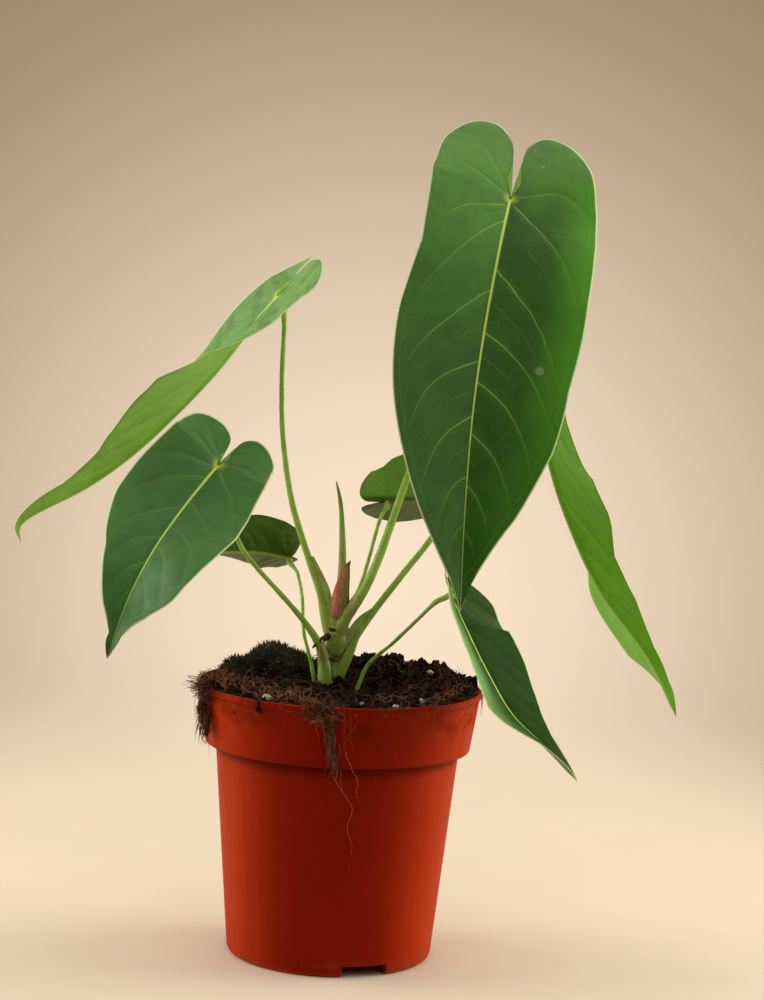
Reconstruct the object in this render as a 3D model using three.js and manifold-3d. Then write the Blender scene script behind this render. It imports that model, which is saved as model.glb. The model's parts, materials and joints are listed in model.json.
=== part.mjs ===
// A velvety anthurium with seven long heart-shaped leaves, growing in a plastic nursery pot.
// Millimetres, +Z up, -Y towards the viewer. The origin is the centre of the pot's underside.

import * as THREE from "three";
import { mergeVertices } from "three/addons/utils/BufferGeometryUtils.js";
import Module from "manifold-3d";

const wasm = await Module();
wasm.setup();

// Clearance between pieces that touch on the real plant
const GAP = 0.3;

// Pot
const POT_HEIGHT = 115;
const RIM_RADIUS = 60;
const COLLAR_HEIGHT = 25.5;
const COLLAR_FOOT_RADIUS = 56;
const BODY_TOP_RADIUS = 51.5;
const BODY_FOOT_RADIUS = 43.5;
const POT_WALL = 1.2;
const LIP_HEIGHT = 2.6;
const LIP_STAND_OUT = 0.7;
const FOOT_HEIGHT = 5.2;
const FOOT_ROUNDING = 3;
const FOOT_RING_WIDTH = 4.5;
const CENTRE_PAD_RADIUS = 12;
const NOTCH = { width: 20, height: 5, angles: [22, 142, 262] };
const DRAIN = { radius: 3.5, ring: 27, count: 6 };
const POT_SEGMENTS = 40;

// Soil
const SOIL_LEVEL = 112.5;
const SOIL_RINGS = 7;
const SOIL_ROUGHNESS = 1.1;
const SOIL_MOUNDS = [
  { x: -30, y: 22, height: 6, spread: 20 },
  { x: 40, y: 14, height: 7.5, spread: 16 },
  { x: 20, y: 34, height: 7, spread: 17 },
  { x: -4, y: 44, height: 3.5, spread: 14 },
  { x: 52, y: -6, height: 3.5, spread: 11 },
  { x: -5, y: -2, height: 3, spread: 8 },
  { x: 12, y: -4, height: -3, spread: 11 },
  { x: -44, y: -18, height: 4, spread: 14 },
];

// Root and peat clumps that hang over the rim: centre and half sizes of each lump
const FRONT_CLUMP = [
  { at: [-6, -53, 114], size: [11, 8, 4] },
  { at: [-4.5, -60, 113], size: [6.5, 4.6, 4.5] },
  { at: [-2.4, -61.2, 105], size: [3.8, 2.8, 7] },
  { at: [-1, -60.5, 97], size: [2.8, 2.8, 6.5] },
  { at: [1.6, -59, 91], size: [2, 2.5, 4.5] },
];
const LEFT_CLUMP = [
  { at: [-51, -15, 115.5], size: [9, 13, 5] },
  { at: [-56.5, -17, 115], size: [5.5, 10, 6] },
  { at: [-56, -25, 106], size: [3.4, 4.5, 8] },
  { at: [-54, -26, 98.5], size: [2.6, 3.6, 5] },
];

// Unevenness of each lump's surface
const LUMP_RIPPLE = { waves: 5, height: 0.13 };

// Moss cushion at the back left of the soil
const MOSS = [
  { at: [-29, 23, 118.5], size: [13, 11, 9] },
  { at: [-20, 27, 117], size: [8.5, 9, 6] },
  { at: [-43, 14, 116.5], size: [8, 8, 5.5] },
];

// Leaf blade
const BLADE_THICKNESS = 0.8;
const MIDRIB_DEPTH = 0.7;
// Half outline from the sinus to the tip: across in half widths, along in lobe depths behind the
// petiole and in midrib lengths before it, and where the vein that ends there leaves the midrib
const OUTLINE = [
  [0, 0, 0],
  [0.07, -0.22, 0],
  [0.05, -0.5, 0],
  [0.1, -0.8, 0],
  [0.28, -1, 0],
  [0.56, -0.92, 0],
  [0.8, -0.58, 0],
  [0.89, -0.12, 0],
  [0.93, 0.08, 0],
  [0.98, 0.24, 0.06],
  [1, 0.4, 0.18],
  [0.9, 0.57, 0.36],
  [0.66, 0.73, 0.56],
  [0.34, 0.87, 0.76],
  [0.1, 0.955, 0.91],
  [0, 1, 1],
];
// Where a vein bends: share of the half width, and of the way to its end
const VEIN_BEND = { across: 0.55, along: 0.3 };
// Columns from the midrib to the margin
const BLADE_COLUMNS = [0, 0.1, 0.4, 0.72, 1];
// Direction that a turn of 0 degrees faces
const FRONT = new THREE.Vector3(0, -1, 0.09);

// The leaves. Each list in turn, fold, curl, width holds [place along the midrib, value].
// turn: degrees that the upper face turns about the midrib, away from the front.
// fold: degrees that a half rises from the midrib. curl: degrees that it bends down by its margin.
// side 0 lies left of the midrib as the upper face is seen with its tip down, side 1 right.
const LEAVES = {
  front: {
    spine: [
      [61, -7, 321.5], [56.5, -32, 300], [51.5, -51, 268], [48, -66, 235], [46.5, -77, 198],
      [46.5, -82, 159],
    ],
    halfWidth: 40,
    lobe: 44,
    reach: [1.22, 1.15],
    lobeLift: -0.1,
    turn: [[0, -9], [0.3, 5], [0.6, -6], [1, -15]],
    fold: [
      [[-0.2, 0], [0, 8], [0.4, 11], [0.7, 16], [1, 22]],
      [[-0.2, 16], [0.2, 11], [0.7, 12], [1, 18]],
    ],
    curl: [[0, -12], [1, -14]],
    width: [
      [[-0.2, 1], [0, 0.97], [0.2, 0.82], [0.35, 0.88], [0.8, 0.95], [1, 0.82]],
      [[-0.2, 0.97], [0.1, 1.03], [0.5, 0.96], [0.65, 1.02], [0.8, 0.97], [0.95, 0.68]],
    ],
    wave: [[1.5, 1.6, 0.1], [1.5, 1.3, 0.4]],
    rows: 30,
  },
  left_high: {
    spine: [
      [-34, 9.5, 277], [-43, 14, 266], [-59, 18, 244], [-74, 20, 226.5], [-92, 22, 208],
      [-112, 22, 192], [-138, 16, 176.5], [-139.5, 13.5, 167],
    ],
    halfWidth: 31,
    lobe: 24,
    reach: [0.9, 1.24],
    lobeLift: 0,
    turn: [[0, 69], [0.2, 84], [0.4, 90], [0.6, 101], [0.8, 94], [1, 91]],
    fold: [
      [[-0.2, -24], [0, 15], [0.2, 27], [1, 38]],
      [[-0.2, 1], [0, -3], [0.2, 21], [0.4, 21], [0.6, 29], [1, 36]],
    ],
    curl: [[0, -6], [1, -8]],
    width: [
      [[-0.2, 0.45], [0, 0.5], [0.35, 0.97], [0.5, 1.03], [1, 1]],
      [[-0.2, 1.8], [-0.1, 1.1], [0, 0.72], [0.35, 1.25], [0.65, 0.65], [0.8, 0.55], [1, 0.94]],
    ],
    wave: [[2, 2, 0.1], [2, 2.2, 0.4]],
    rows: 28,
  },
  left_low: {
    spine: [
      [-54, -21, 207], [-66.5, -40, 190], [-77, -56, 173], [-86, -58, 153], [-92.5, -61.5, 131],
    ],
    halfWidth: 31.5,
    lobe: 20.5,
    reach: [0.87, 1.08],
    lobeLift: 0,
    turn: [[0, 3], [0.6, 28], [0.8, 20]],
    fold: [
      [[-0.2, 10], [0, 22], [0.4, 12], [0.6, 12], [0.8, 20]],
      [[-0.2, -4], [0, 22], [0.2, 15], [1, 21]],
    ],
    curl: [[0, -14], [1, -14]],
    width: [
      [[-0.2, 1.03], [-0.1, 0.87], [0.35, 0.87], [0.65, 0.69], [0.8, 0.55], [0.9, 0.3], [1, 1]],
      [[-0.2, 0.84], [-0.1, 0.76], [0.5, 0.95], [0.65, 0.91], [0.8, 0.76], [0.9, 0.46], [1, 0.87]],
    ],
    wave: [[1, 1.6, 0.1], [1, 1.3, 0.4]],
    rows: 24,
  },
  left_back: {
    spine: [[-25, 38.5, 163.5], [-37.5, 35, 165.5], [-49.5, 37, 165], [-61.5, 41, 163.5]],
    halfWidth: 20,
    lobe: 4.6,
    reach: [1.1, 0.4],
    lobeLift: 0,
    turn: [[0, 122], [0.2, 133], [1, 136]],
    fold: [
      [[-0.2, 24], [0, 16], [0.4, 28]],
      [[-0.2, 20], [0, 10], [0.4, 29]],
    ],
    curl: [[0, -10]],
    width: [
      [[0, 1.03], [0.35, 0.94], [0.65, 1]],
      [[-0.2, 1.05], [0, 0.99], [0.5, 0.82], [0.8, 0.95]],
    ],
    wave: [[0.6, 1.4, 0.2], [0.6, 1.4, 0.5]],
    rows: 20,
  },
  right_back: {
    spine: [[15.5, 32, 190], [30, 37, 192], [45.5, 43, 191.5], [60, 47, 187]],
    halfWidth: 24,
    lobe: 11,
    reach: [1.1, 0.88],
    lobeLift: 0,
    turn: [[0, -136], [0.6, -143], [1, -140]],
    fold: [
      [[-0.2, 12], [0, 35], [0.2, 31]],
      [[-0.2, 26], [0, 30]],
    ],
    curl: [[0, -10]],
    width: [
      [[-0.2, 0.9], [-0.1, 0.74], [0, 0.7], [0.1, 0.82], [0.5, 1]],
      [[-0.2, 0.5], [0, 0.87], [0.2, 1]],
    ],
    wave: [[0.6, 1.4, 0.2], [0.6, 1.4, 0.5]],
    rows: 20,
  },
  right_low: {
    spine: [
      [44.5, -9, 156.5], [50.5, -27.5, 146], [60, -37.5, 129.5], [71, -46.5, 113.5],
      [85, -54, 102], [98, -57, 89.5],
    ],
    halfWidth: 21.5,
    lobe: 16,
    reach: [0.48, 1.15],
    lobeLift: 0,
    turn: [[0, -79], [0.2, -63], [0.6, -54], [1, -76]],
    fold: [
      [[-0.2, 39], [0, 19], [0.4, 23], [0.6, 17], [1, 32]],
      [[-0.2, 26], [0.4, 18], [0.8, 14], [1, 22]],
    ],
    curl: [[0, -8]],
    width: [
      [[-0.2, 0.66], [0, 0.54], [0.35, 0.77], [0.65, 1.02], [1, 1.02]],
      [
        [-0.2, 1.65], [0, 1.42], [0.2, 1.15], [0.35, 1.01], [0.65, 0.88], [0.8, 0.66],
        [0.9, 0.66], [1, 1],
      ],
    ],
    wave: [[0.8, 2, 0.1], [0.8, 2.2, 0.4]],
    rows: 24,
  },
  right_high: {
    spine: [
      [80, 14, 239], [85.5, 29, 211], [96.5, 37, 182.5], [111.5, 41, 154.5], [134.5, 46.5, 125],
      [146.5, 31, 102.5],
    ],
    halfWidth: 30,
    lobe: 26,
    reach: [1, 1],
    lobeLift: 0,
    turn: [[0, -93], [0.4, -106], [0.6, -114], [0.8, -132], [1, -114]],
    fold: [
      [[-0.2, 20], [0, 15], [0.4, 32], [0.7, 28], [1, 38]],
      [[-0.2, 20], [0.2, 27], [0.4, 37], [0.8, 26], [1, 52]],
    ],
    curl: [[0, -8], [1, -10]],
    width: [
      [
        [-0.2, 0.82], [0.2, 1], [0.35, 0.87], [0.5, 0.53], [0.65, 0.5], [0.8, 0.33], [0.9, 0.45],
        [1, 1.2],
      ],
      [[-0.2, 0.98], [0.2, 0.94], [0.35, 1.03], [0.65, 1.31], [0.8, 1.32], [1, 0.84]],
    ],
    wave: [[1.5, 2, 0.1], [1.5, 2.2, 0.4]],
    rows: 28,
  },
};

// Petioles, from the stem or the soil up to just before the leaf, with [place, radius] lists
const PETIOLES = {
  front: {
    path: [
      [1, -3, 144], [7, -4, 153.5], [13.5, -4, 169], [22.5, -3, 198.5], [31.5, -2, 228.5],
      [40, 0, 258], [50, 1, 285.5], [58, 1.5, 306.5],
    ],
    radius: [
      [0, 2.3], [0.08, 2], [0.2, 1.75], [0.35, 1.45], [0.6, 1.3], [0.91, 1.15], [0.95, 1.45],
      [1, 1.45],
    ],
  },
  left_high: {
    path: [
      [-8, -1, 145.5], [-10.5, 0, 154.5], [-15.5, 1, 167], [-24, 3, 191.5], [-29, 5, 219],
      [-30.5, 7, 244], [-30.5, 9, 264.5],
    ],
    radius: [[0, 1.7], [0.1, 1.5], [0.3, 1.3], [0.6, 1.05], [0.9, 1], [0.95, 1.4], [1, 1.4]],
  },
  left_low: {
    path: [
      [-7, -3, 124.5], [-9.5, -5, 132], [-14.5, -6, 139.5], [-22.5, -8, 149], [-40, -13, 168],
      [-46, -15, 178.5], [-52.5, -15, 198],
    ],
    radius: [[0, 2.2], [0.1, 1.7], [0.25, 1.15], [0.5, 1], [0.9, 1], [0.95, 1.4], [1, 1.4]],
  },
  left_back: {
    path: [
      [-9, 2, 105], [-12.5, 2.5, 122], [-16.5, 6, 135.5], [-18, 13, 149], [-20.5, 23, 157.5],
      [-22, 28, 159.5],
    ],
    radius: [[0, 1], [0.3, 0.75], [0.85, 0.75], [0.93, 1.2], [1, 1.2]],
  },
  right_back: {
    path: [[1.5, 2.5, 147], [6, 7, 154.5], [9.5, 12, 167], [13.5, 20, 183.5]],
    radius: [[0, 1.2], [0.3, 0.95], [0.6, 0.9], [0.88, 1], [0.94, 1.4], [1, 1.4]],
  },
  right_low: {
    path: [[7, -1, 113], [11.5, -1, 124], [21.5, -3, 134], [31, -6, 144.5], [38, -9, 152.5]],
    radius: [[0, 1], [0.3, 0.85], [0.8, 0.9], [0.9, 1.3], [1, 1.3]],
  },
  right_high: {
    path: [
      [2.5, 0, 127.5], [5, 1, 134], [13, 4, 146.5], [25.5, 9, 163.5], [34.5, 12, 175.5],
      [47, 15, 195], [63, 14, 220.5], [74, 12, 233],
    ],
    radius: [[0, 1.9], [0.08, 1.6], [0.3, 1.35], [0.6, 1.2], [0.91, 1.15], [0.95, 1.45], [1, 1.45]],
  },
};
const PETIOLE_SIDES = 8;
// A petiole bends most just before its blade, so its last stretch has closer rings
const BEND_PLACES = [0.935, 0.958, 0.98];

// Stem of short stacked joints, the rolled young leaf, its papery sheath and an aerial root
const STEM = {
  path: [
    [-4, 1, 95], [-5, 0, 112], [-5, 0, 124], [-3.5, 0, 129], [-2.5, 0, 135], [-2, 0, 149.5],
  ],
  radius: [
    [0, 4.2], [0.43, 4.8], [0.56, 4.4], [0.72, 5.1], [0.85, 4.4], [0.93, 4.2], [1, 2.6],
  ],
  sides: 12,
  rings: 18,
};
const YOUNG_LEAF = {
  path: [[-1.5, -1, 150], [-1.5, -1, 168], [-2.5, -1, 184.5], [-3.5, -1, 193], [-5.5, -1, 201]],
  radius: [[0, 2.4], [0.2, 2.1], [0.5, 1.6], [0.85, 0.95], [1, 0.4]],
};
const SHEATH = {
  path: [[-2, -4, 145.5], [-1.5, -4.5, 152.5], [-0.5, -4, 160], [0.5, -3.5, 165], [2, -3, 168]],
  radius: [[0, 3.6], [0.25, 3.9], [0.5, 3], [0.75, 1.6], [1, 0.5]],
  flat: 0.45,
};
const AERIAL_ROOT = {
  path: [[-5.5, -2.5, 135.5], [-9, -4.5, 133.5], [-12, -5, 131]],
  radius: [[0, 1.4], [0.5, 1.1], [1, 0.5]],
  rings: 4,
};

// Colours and finish of each kind of piece
const LOOKS = {
  pot: { color: 0xb8330c, roughness: 0.4 },
  soil: { color: 0x2e1a10, roughness: 1 },
  moss: { color: 0x17290f, roughness: 1 },
  blade: { color: 0x1f6b2e, roughness: 0.6 },
  petiole: { color: 0x9bbf3c, roughness: 0.5 },
  stem: { color: 0x8f9c3f, roughness: 0.6 },
  youngLeaf: { color: 0x9cbd48, roughness: 0.5 },
  sheath: { color: 0x8a4a4a, roughness: 0.8 },
  root: { color: 0x5a3a1c, roughness: 0.9 },
};

const vector = ([x, y, z]) => new THREE.Vector3(x, y, z);
const radians = THREE.MathUtils.degToRad;

// The value at x in a list of [x, value] with rising x, held constant past its ends
function sample(list, x) {
  const next = list.findIndex(([at]) => at > x);
  if (next === 0) return list[0][1];
  if (next < 0) return list.at(-1)[1];
  const [x0, v0] = list[next - 1];
  const [x1, v1] = list[next];
  return v0 + ((v1 - v0) * (x - x0)) / (x1 - x0);
}

function curveThrough(points) {
  return new THREE.CatmullRomCurve3(points, false, "catmullrom", 0.5);
}

// A closed geometry as a solid that can be joined and cut
function solid(geometry) {
  const bare = new THREE.BufferGeometry().setAttribute("position", geometry.getAttribute("position"));
  bare.setIndex(geometry.index);
  const merged = mergeVertices(bare, 1e-4);
  const corners = merged.index.array;
  const kept = [];
  for (let i = 0; i < corners.length; i += 3) {
    const [a, b, c] = [corners[i], corners[i + 1], corners[i + 2]];
    if (a !== b && b !== c && a !== c) kept.push(a, b, c);
  }
  const vertProperties = merged.getAttribute("position").array;
  const triVerts = new Uint32Array(kept);
  return new wasm.Manifold(new wasm.Mesh({ numProp: 3, vertProperties, triVerts }));
}

// The largest single body of a solid, as a geometry
function geometryOf(shape) {
  const bodies = shape.decompose();
  bodies.sort((a, b) => b.volume() - a.volume());
  const { vertProperties, triVerts } = bodies[0].getMesh();
  const geometry = new THREE.BufferGeometry();
  geometry.setAttribute("position", new THREE.BufferAttribute(vertProperties, 3));
  geometry.setIndex(new THREE.BufferAttribute(triVerts, 1));
  const flat = geometry.toNonIndexed();
  flat.computeVertexNormals();
  return flat;
}

function joined(solids) {
  return solids.reduce((all, next) => all.add(next));
}

// A closed lathe whose profile runs from [radius, height] to [radius, height]
function lathe(profile, segments) {
  const points = profile.map(([radius, height]) => new THREE.Vector2(radius, height));
  return solid(new THREE.LatheGeometry(points, segments).rotateX(Math.PI / 2));
}

// The pot's half section. extra thickens it on every side, to cut clearance in its neighbours.
function potSection(extra) {
  const outside = (radius) => radius + extra;
  const inside = (radius) => radius - POT_WALL - extra;
  const collarFoot = POT_HEIGHT - COLLAR_HEIGHT;
  const lipRadius = RIM_RADIUS - LIP_STAND_OUT;
  const arc = [];
  for (let step = 0; step <= 3; step += 1) {
    const angle = (Math.PI / 2) * (step / 3);
    const radius = BODY_FOOT_RADIUS - FOOT_ROUNDING + FOOT_ROUNDING * Math.sin(angle);
    arc.push([outside(radius), FOOT_ROUNDING - FOOT_ROUNDING * Math.cos(angle) - extra]);
  }
  const floorInner = BODY_FOOT_RADIUS - FOOT_RING_WIDTH;
  return [
    [0, -extra],
    [CENTRE_PAD_RADIUS + extra, -extra],
    [CENTRE_PAD_RADIUS + 1 + extra, FOOT_HEIGHT - extra],
    [floorInner - 1, FOOT_HEIGHT - extra],
    [floorInner, -extra],
    ...arc,
    [outside(BODY_TOP_RADIUS), collarFoot - extra],
    [outside(COLLAR_FOOT_RADIUS - 0.4), collarFoot - extra],
    [outside(COLLAR_FOOT_RADIUS), collarFoot + 0.6],
    [outside(lipRadius), POT_HEIGHT - LIP_HEIGHT - 0.4 - extra],
    [outside(RIM_RADIUS), POT_HEIGHT - LIP_HEIGHT - extra],
    [outside(RIM_RADIUS), POT_HEIGHT - 0.5],
    [outside(RIM_RADIUS - 0.5), POT_HEIGHT + extra],
    [inside(RIM_RADIUS), POT_HEIGHT + extra],
    [inside(RIM_RADIUS), POT_HEIGHT - LIP_HEIGHT],
    [inside(COLLAR_FOOT_RADIUS), collarFoot + POT_WALL + extra],
    [inside(BODY_TOP_RADIUS), collarFoot + POT_WALL + extra],
    [inside(BODY_FOOT_RADIUS), FOOT_HEIGHT + POT_WALL + extra],
    [0, FOOT_HEIGHT + POT_WALL + extra],
  ];
}

// Angles in the pot run from the front, -Y, towards +X
function aroundPot(degrees, radius) {
  return [radius * Math.sin(radians(degrees)), -radius * Math.cos(radians(degrees))];
}

function makePot() {
  const cuts = NOTCH.angles.map((angle) => {
    const [x, y] = aroundPot(angle, BODY_FOOT_RADIUS - FOOT_RING_WIDTH / 2);
    const box = new THREE.BoxGeometry(NOTCH.width, 4 * FOOT_RING_WIDTH, 2 * NOTCH.height);
    return solid(box.rotateZ(radians(angle)).translate(x, y, 0));
  });
  for (let hole = 0; hole < DRAIN.count; hole += 1) {
    const [x, y] = aroundPot((360 / DRAIN.count) * (hole + 0.5), DRAIN.ring);
    const rod = new THREE.CylinderGeometry(DRAIN.radius, DRAIN.radius, 4 * POT_WALL, 12);
    cuts.push(solid(rod.rotateX(Math.PI / 2).translate(x, y, FOOT_HEIGHT + POT_WALL / 2)));
  }
  return lathe(potSection(0), POT_SEGMENTS).subtract(joined(cuts));
}

// A closed tube of rings along a path, tapering by a [place, radius] list and rounded at its ends.
// extra thickens it, and flat squeezes it from front to back.
function tube({ path, radius, flat = 1, sides = PETIOLE_SIDES, rings = 14 }, extra = 0) {
  const curve = curveThrough(path.map((point) => (point.isVector3 ? point : vector(point))));
  const places = [];
  for (let ring = 0; ring < rings; ring += 1) places.push(ring / rings);
  places.push(...BEND_PLACES, 1);
  const corners = [];
  const sections = [];
  const across = new THREE.Vector3();
  const frontBack = new THREE.Vector3();
  const addRing = (centre, tangent, size) => {
    across.crossVectors(tangent, new THREE.Vector3(0, 1, 0)).normalize();
    frontBack.crossVectors(across, tangent).normalize();
    sections.push(corners.length / 3);
    for (let side = 0; side < sides; side += 1) {
      const angle = (2 * Math.PI * side) / sides;
      const point = centre.clone().addScaledVector(across, size * Math.cos(angle));
      point.addScaledVector(frontBack, size * flat * Math.sin(angle));
      corners.push(...point);
    }
  };
  const start = curve.getPointAt(0);
  const startWay = curve.getTangentAt(0);
  const startSize = sample(radius, 0) + extra;
  addRing(start.clone().addScaledVector(startWay, -0.5 * startSize), startWay, 0.7 * startSize);
  places.forEach((u) => addRing(curve.getPointAt(u), curve.getTangentAt(u), sample(radius, u) + extra));
  const end = curve.getPointAt(1);
  const endWay = curve.getTangentAt(1);
  const endSize = sample(radius, 1) + extra;
  addRing(end.clone().addScaledVector(endWay, 0.5 * endSize), endWay, 0.7 * endSize);
  const first = corners.length / 3;
  corners.push(...start.clone().addScaledVector(startWay, -0.7 * startSize));
  corners.push(...end.clone().addScaledVector(endWay, 0.7 * endSize));
  const faces = [];
  for (let ring = 0; ring + 1 < sections.length; ring += 1) {
    for (let side = 0; side < sides; side += 1) {
      const next = (side + 1) % sides;
      const [a, b] = [sections[ring] + side, sections[ring] + next];
      const [c, d] = [sections[ring + 1] + side, sections[ring + 1] + next];
      faces.push(a, c, b, b, c, d);
    }
  }
  for (let side = 0; side < sides; side += 1) {
    const next = (side + 1) % sides;
    faces.push(first, sections[0] + side, sections[0] + next);
    faces.push(first + 1, sections.at(-1) + next, sections.at(-1) + side);
  }
  return facingOut(corners, faces);
}

// A solid from corners and triangles, turned so that its faces point out
function facingOut(corners, faces) {
  const geometry = new THREE.BufferGeometry();
  geometry.setAttribute("position", new THREE.BufferAttribute(new Float32Array(corners), 3));
  geometry.setIndex(faces);
  const made = solid(geometry);
  if (made.volume() > 0) return made;
  const turned = [];
  for (let i = 0; i < faces.length; i += 3) turned.push(faces[i], faces[i + 2], faces[i + 1]);
  geometry.setIndex(turned);
  return solid(geometry);
}

// The midrib's direction and the blade's facing and sideways directions at a place along it
function bladeAxes(leaf, curve, u) {
  const along = curve.getTangentAt(u);
  const facing = FRONT.clone().addScaledVector(along, -FRONT.dot(along)).normalize();
  facing.applyAxisAngle(along, radians(sample(leaf.turn, u)));
  return { along, facing, sideways: new THREE.Vector3().crossVectors(along, facing) };
}

// A blade is two grids of rows that run like veins from the midrib to the margin, joined at the rim
function blade(leaf) {
  const curve = curveThrough(leaf.spine.map(vector));
  const length = curve.getLength();
  const outline = curveThrough(OUTLINE.map(vector));
  const corners = [];
  const faces = [];
  const columns = BLADE_COLUMNS.length;
  const half = BLADE_THICKNESS / 2;
  [1, -1].forEach((way, side) => {
    const base = corners.length / 3;
    for (let row = 0; row <= leaf.rows; row += 1) {
      const last = row === leaf.rows;
      const edge = outline.getPoint(row / leaf.rows);
      const rootY = last ? length : THREE.MathUtils.clamp(edge.z, 0, 1) * length;
      const backDepth = leaf.lobe * leaf.reach[side];
      const endY = last ? length : edge.y * (edge.y < 0 ? backDepth : length);
      const atEnds = row === 0 || last;
      const widest = leaf.halfWidth * sample(leaf.width[side], endY / length);
      const endX = atEnds ? 0 : Math.max(edge.x, 0) * widest;
      const bendX = endX * VEIN_BEND.across;
      const bendY = rootY + (endY - rootY) * VEIN_BEND.along;
      BLADE_COLUMNS.forEach((s) => {
        const x = 2 * s * (1 - s) * bendX + s * s * endX;
        const y = (1 - s) ** 2 * rootY + 2 * s * (1 - s) * bendY + s * s * endY;
        const u = THREE.MathUtils.clamp(y / length, 0, 1);
        const { along, facing, sideways } = bladeAxes(leaf, curve, u);
        const back = Math.min(y, 0);
        const lift = leaf.lobeLift * (back / leaf.lobe) ** 2 * leaf.lobe;
        const fold = radians(sample(leaf.fold[side], y / length));
        const bend = radians(sample(leaf.curl, y / length)) / leaf.halfWidth;
        const out = (Math.sin(fold + bend * x) - Math.sin(fold)) / bend;
        const rise = (Math.cos(fold) - Math.cos(fold + bend * x)) / bend;
        const [swing, waves, phase] = leaf.wave[side];
        const edgeShare = (s * s * endX) / leaf.halfWidth;
        const ripple = swing * edgeShare * Math.sin(2 * Math.PI * ((waves * y) / length + phase));
        const onMidrib = x < 1e-6;
        const middle = curve.getPointAt(u).addScaledVector(along, back);
        middle.addScaledVector(sideways, way * out).addScaledVector(facing, lift + rise + ripple);
        const tilt = onMidrib ? 0 : fold + bend * x;
        const normal = facing.clone().multiplyScalar(Math.cos(tilt));
        normal.addScaledVector(sideways, -way * Math.sin(tilt));
        const under = half + (onMidrib ? MIDRIB_DEPTH * Math.sqrt(1 - u) : 0);
        corners.push(...middle.clone().addScaledVector(normal, half));
        corners.push(...middle.clone().addScaledVector(normal, -under));
      });
    }
    const upper = (row, column) => base + 2 * (row * columns + column);
    const lower = (row, column) => upper(row, column) + 1;
    const quad = (a, b, c, d) => {
      if (way > 0) faces.push(a, b, c, a, c, d);
      else faces.push(a, c, b, a, d, c);
    };
    for (let row = 0; row < leaf.rows; row += 1) {
      for (let column = 0; column + 1 < columns; column += 1) {
        const corner = [[row, column], [row, column + 1], [row + 1, column + 1], [row + 1, column]];
        const [a, b, c, d] = corner.map(([i, j]) => upper(i, j));
        const [e, f, g, h] = corner.map(([i, j]) => lower(i, j));
        quad(a, b, c, d);
        if (way > 0) faces.push(e, g, f, e, h, g);
        else faces.push(e, f, g, e, g, h);
      }
      const rim = columns - 1;
      quad(upper(row, rim), lower(row, rim), lower(row + 1, rim), upper(row + 1, rim));
    }
  });
  return facingOut(corners, faces);
}

// Where a petiole ends: under the blade's base, clear of the midrib by the gap
function petioleEnd(leaf, tipRadius) {
  const curve = curveThrough(leaf.spine.map(vector));
  const { facing } = bladeAxes(leaf, curve, 0);
  const clear = BLADE_THICKNESS / 2 + MIDRIB_DEPTH + GAP + tipRadius;
  return curve.getPointAt(0).addScaledVector(facing, -clear);
}

function petiole(name, extra) {
  const { path, radius } = PETIOLES[name];
  const end = petioleEnd(LEAVES[name], radius.at(-1)[1]);
  return tube({ path: [...path.map(vector), end], radius }, extra);
}

// A lumpy ball, from a sphere with a ripple of its own on each side
function lump({ at, size }, extra) {
  const ball = new THREE.IcosahedronGeometry(1, Math.min(...size) > 7 ? 2 : 1);
  const position = ball.getAttribute("position");
  const point = new THREE.Vector3();
  for (let i = 0; i < position.count; i += 1) {
    point.fromBufferAttribute(position, i);
    const ripples = ["x", "y", "z"].map((axis, k) => Math.sin(LUMP_RIPPLE.waves * point[axis] + at[k]));
    point.multiplyScalar(1 + LUMP_RIPPLE.height * ripples[0] * ripples[1] * ripples[2]);
    const moved = ["x", "y", "z"].map((axis, k) => at[k] + point[axis] * (size[k] + extra));
    position.setXYZ(i, ...moved);
  }
  ball.deleteAttribute("normal");
  ball.deleteAttribute("uv");
  return solid(ball);
}

function lumps(list, extra = 0) {
  return joined(list.map((entry) => lump(entry, extra)));
}

// Height of the soil's surface
function soilHeight(x, y) {
  const grain = Math.sin(12.9 * x + 4.1 * y) * Math.sin(7.3 * y - 3.7 * x);
  let height = SOIL_LEVEL + SOIL_ROUGHNESS * grain;
  SOIL_MOUNDS.forEach((mound) => {
    const away = ((x - mound.x) ** 2 + (y - mound.y) ** 2) / mound.spread ** 2;
    height += mound.height * Math.exp(-away);
  });
  return height;
}

// The soil fills the pot, as a lathe from its floor to a top disc whose points follow the surface
function makeSoil(thickPot, cutters) {
  const collarFoot = POT_HEIGHT - COLLAR_HEIGHT;
  const floor = FOOT_HEIGHT + POT_WALL;
  const inside = (radius) => radius - POT_WALL - GAP;
  const profile = [
    [0, floor + GAP],
    [inside(BODY_FOOT_RADIUS), floor + GAP],
    [inside(BODY_TOP_RADIUS), collarFoot + POT_WALL],
    [inside(BODY_TOP_RADIUS), collarFoot + POT_WALL + GAP],
    [inside(COLLAR_FOOT_RADIUS), collarFoot + POT_WALL + GAP],
  ];
  const top = inside(RIM_RADIUS) - 0.6;
  for (let ring = SOIL_RINGS; ring >= 0; ring -= 1) profile.push([(top * ring) / SOIL_RINGS, SOIL_LEVEL]);
  const points = profile.map(([radius, height]) => new THREE.Vector2(radius, height));
  const body = new THREE.LatheGeometry(points, POT_SEGMENTS).rotateX(Math.PI / 2);
  const position = body.getAttribute("position");
  for (let i = 0; i < position.count; i += 1) {
    if (position.getZ(i) > SOIL_LEVEL - 1) {
      position.setZ(i, soilHeight(position.getX(i), position.getY(i)));
    }
  }
  const clumps = joined([lumps(FRONT_CLUMP), lumps(LEFT_CLUMP)]).subtract(thickPot);
  return solid(body).add(clumps).subtract(joined(cutters));
}

const plant = new THREE.Group();

function addPiece(name, shape, look) {
  const mesh = new THREE.Mesh(geometryOf(shape), new THREE.MeshStandardMaterial(LOOKS[look]));
  mesh.name = name;
  plant.add(mesh);
}

addPiece("pot", makePot(), "pot");
addPiece("stem", tube(STEM), "stem");

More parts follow.
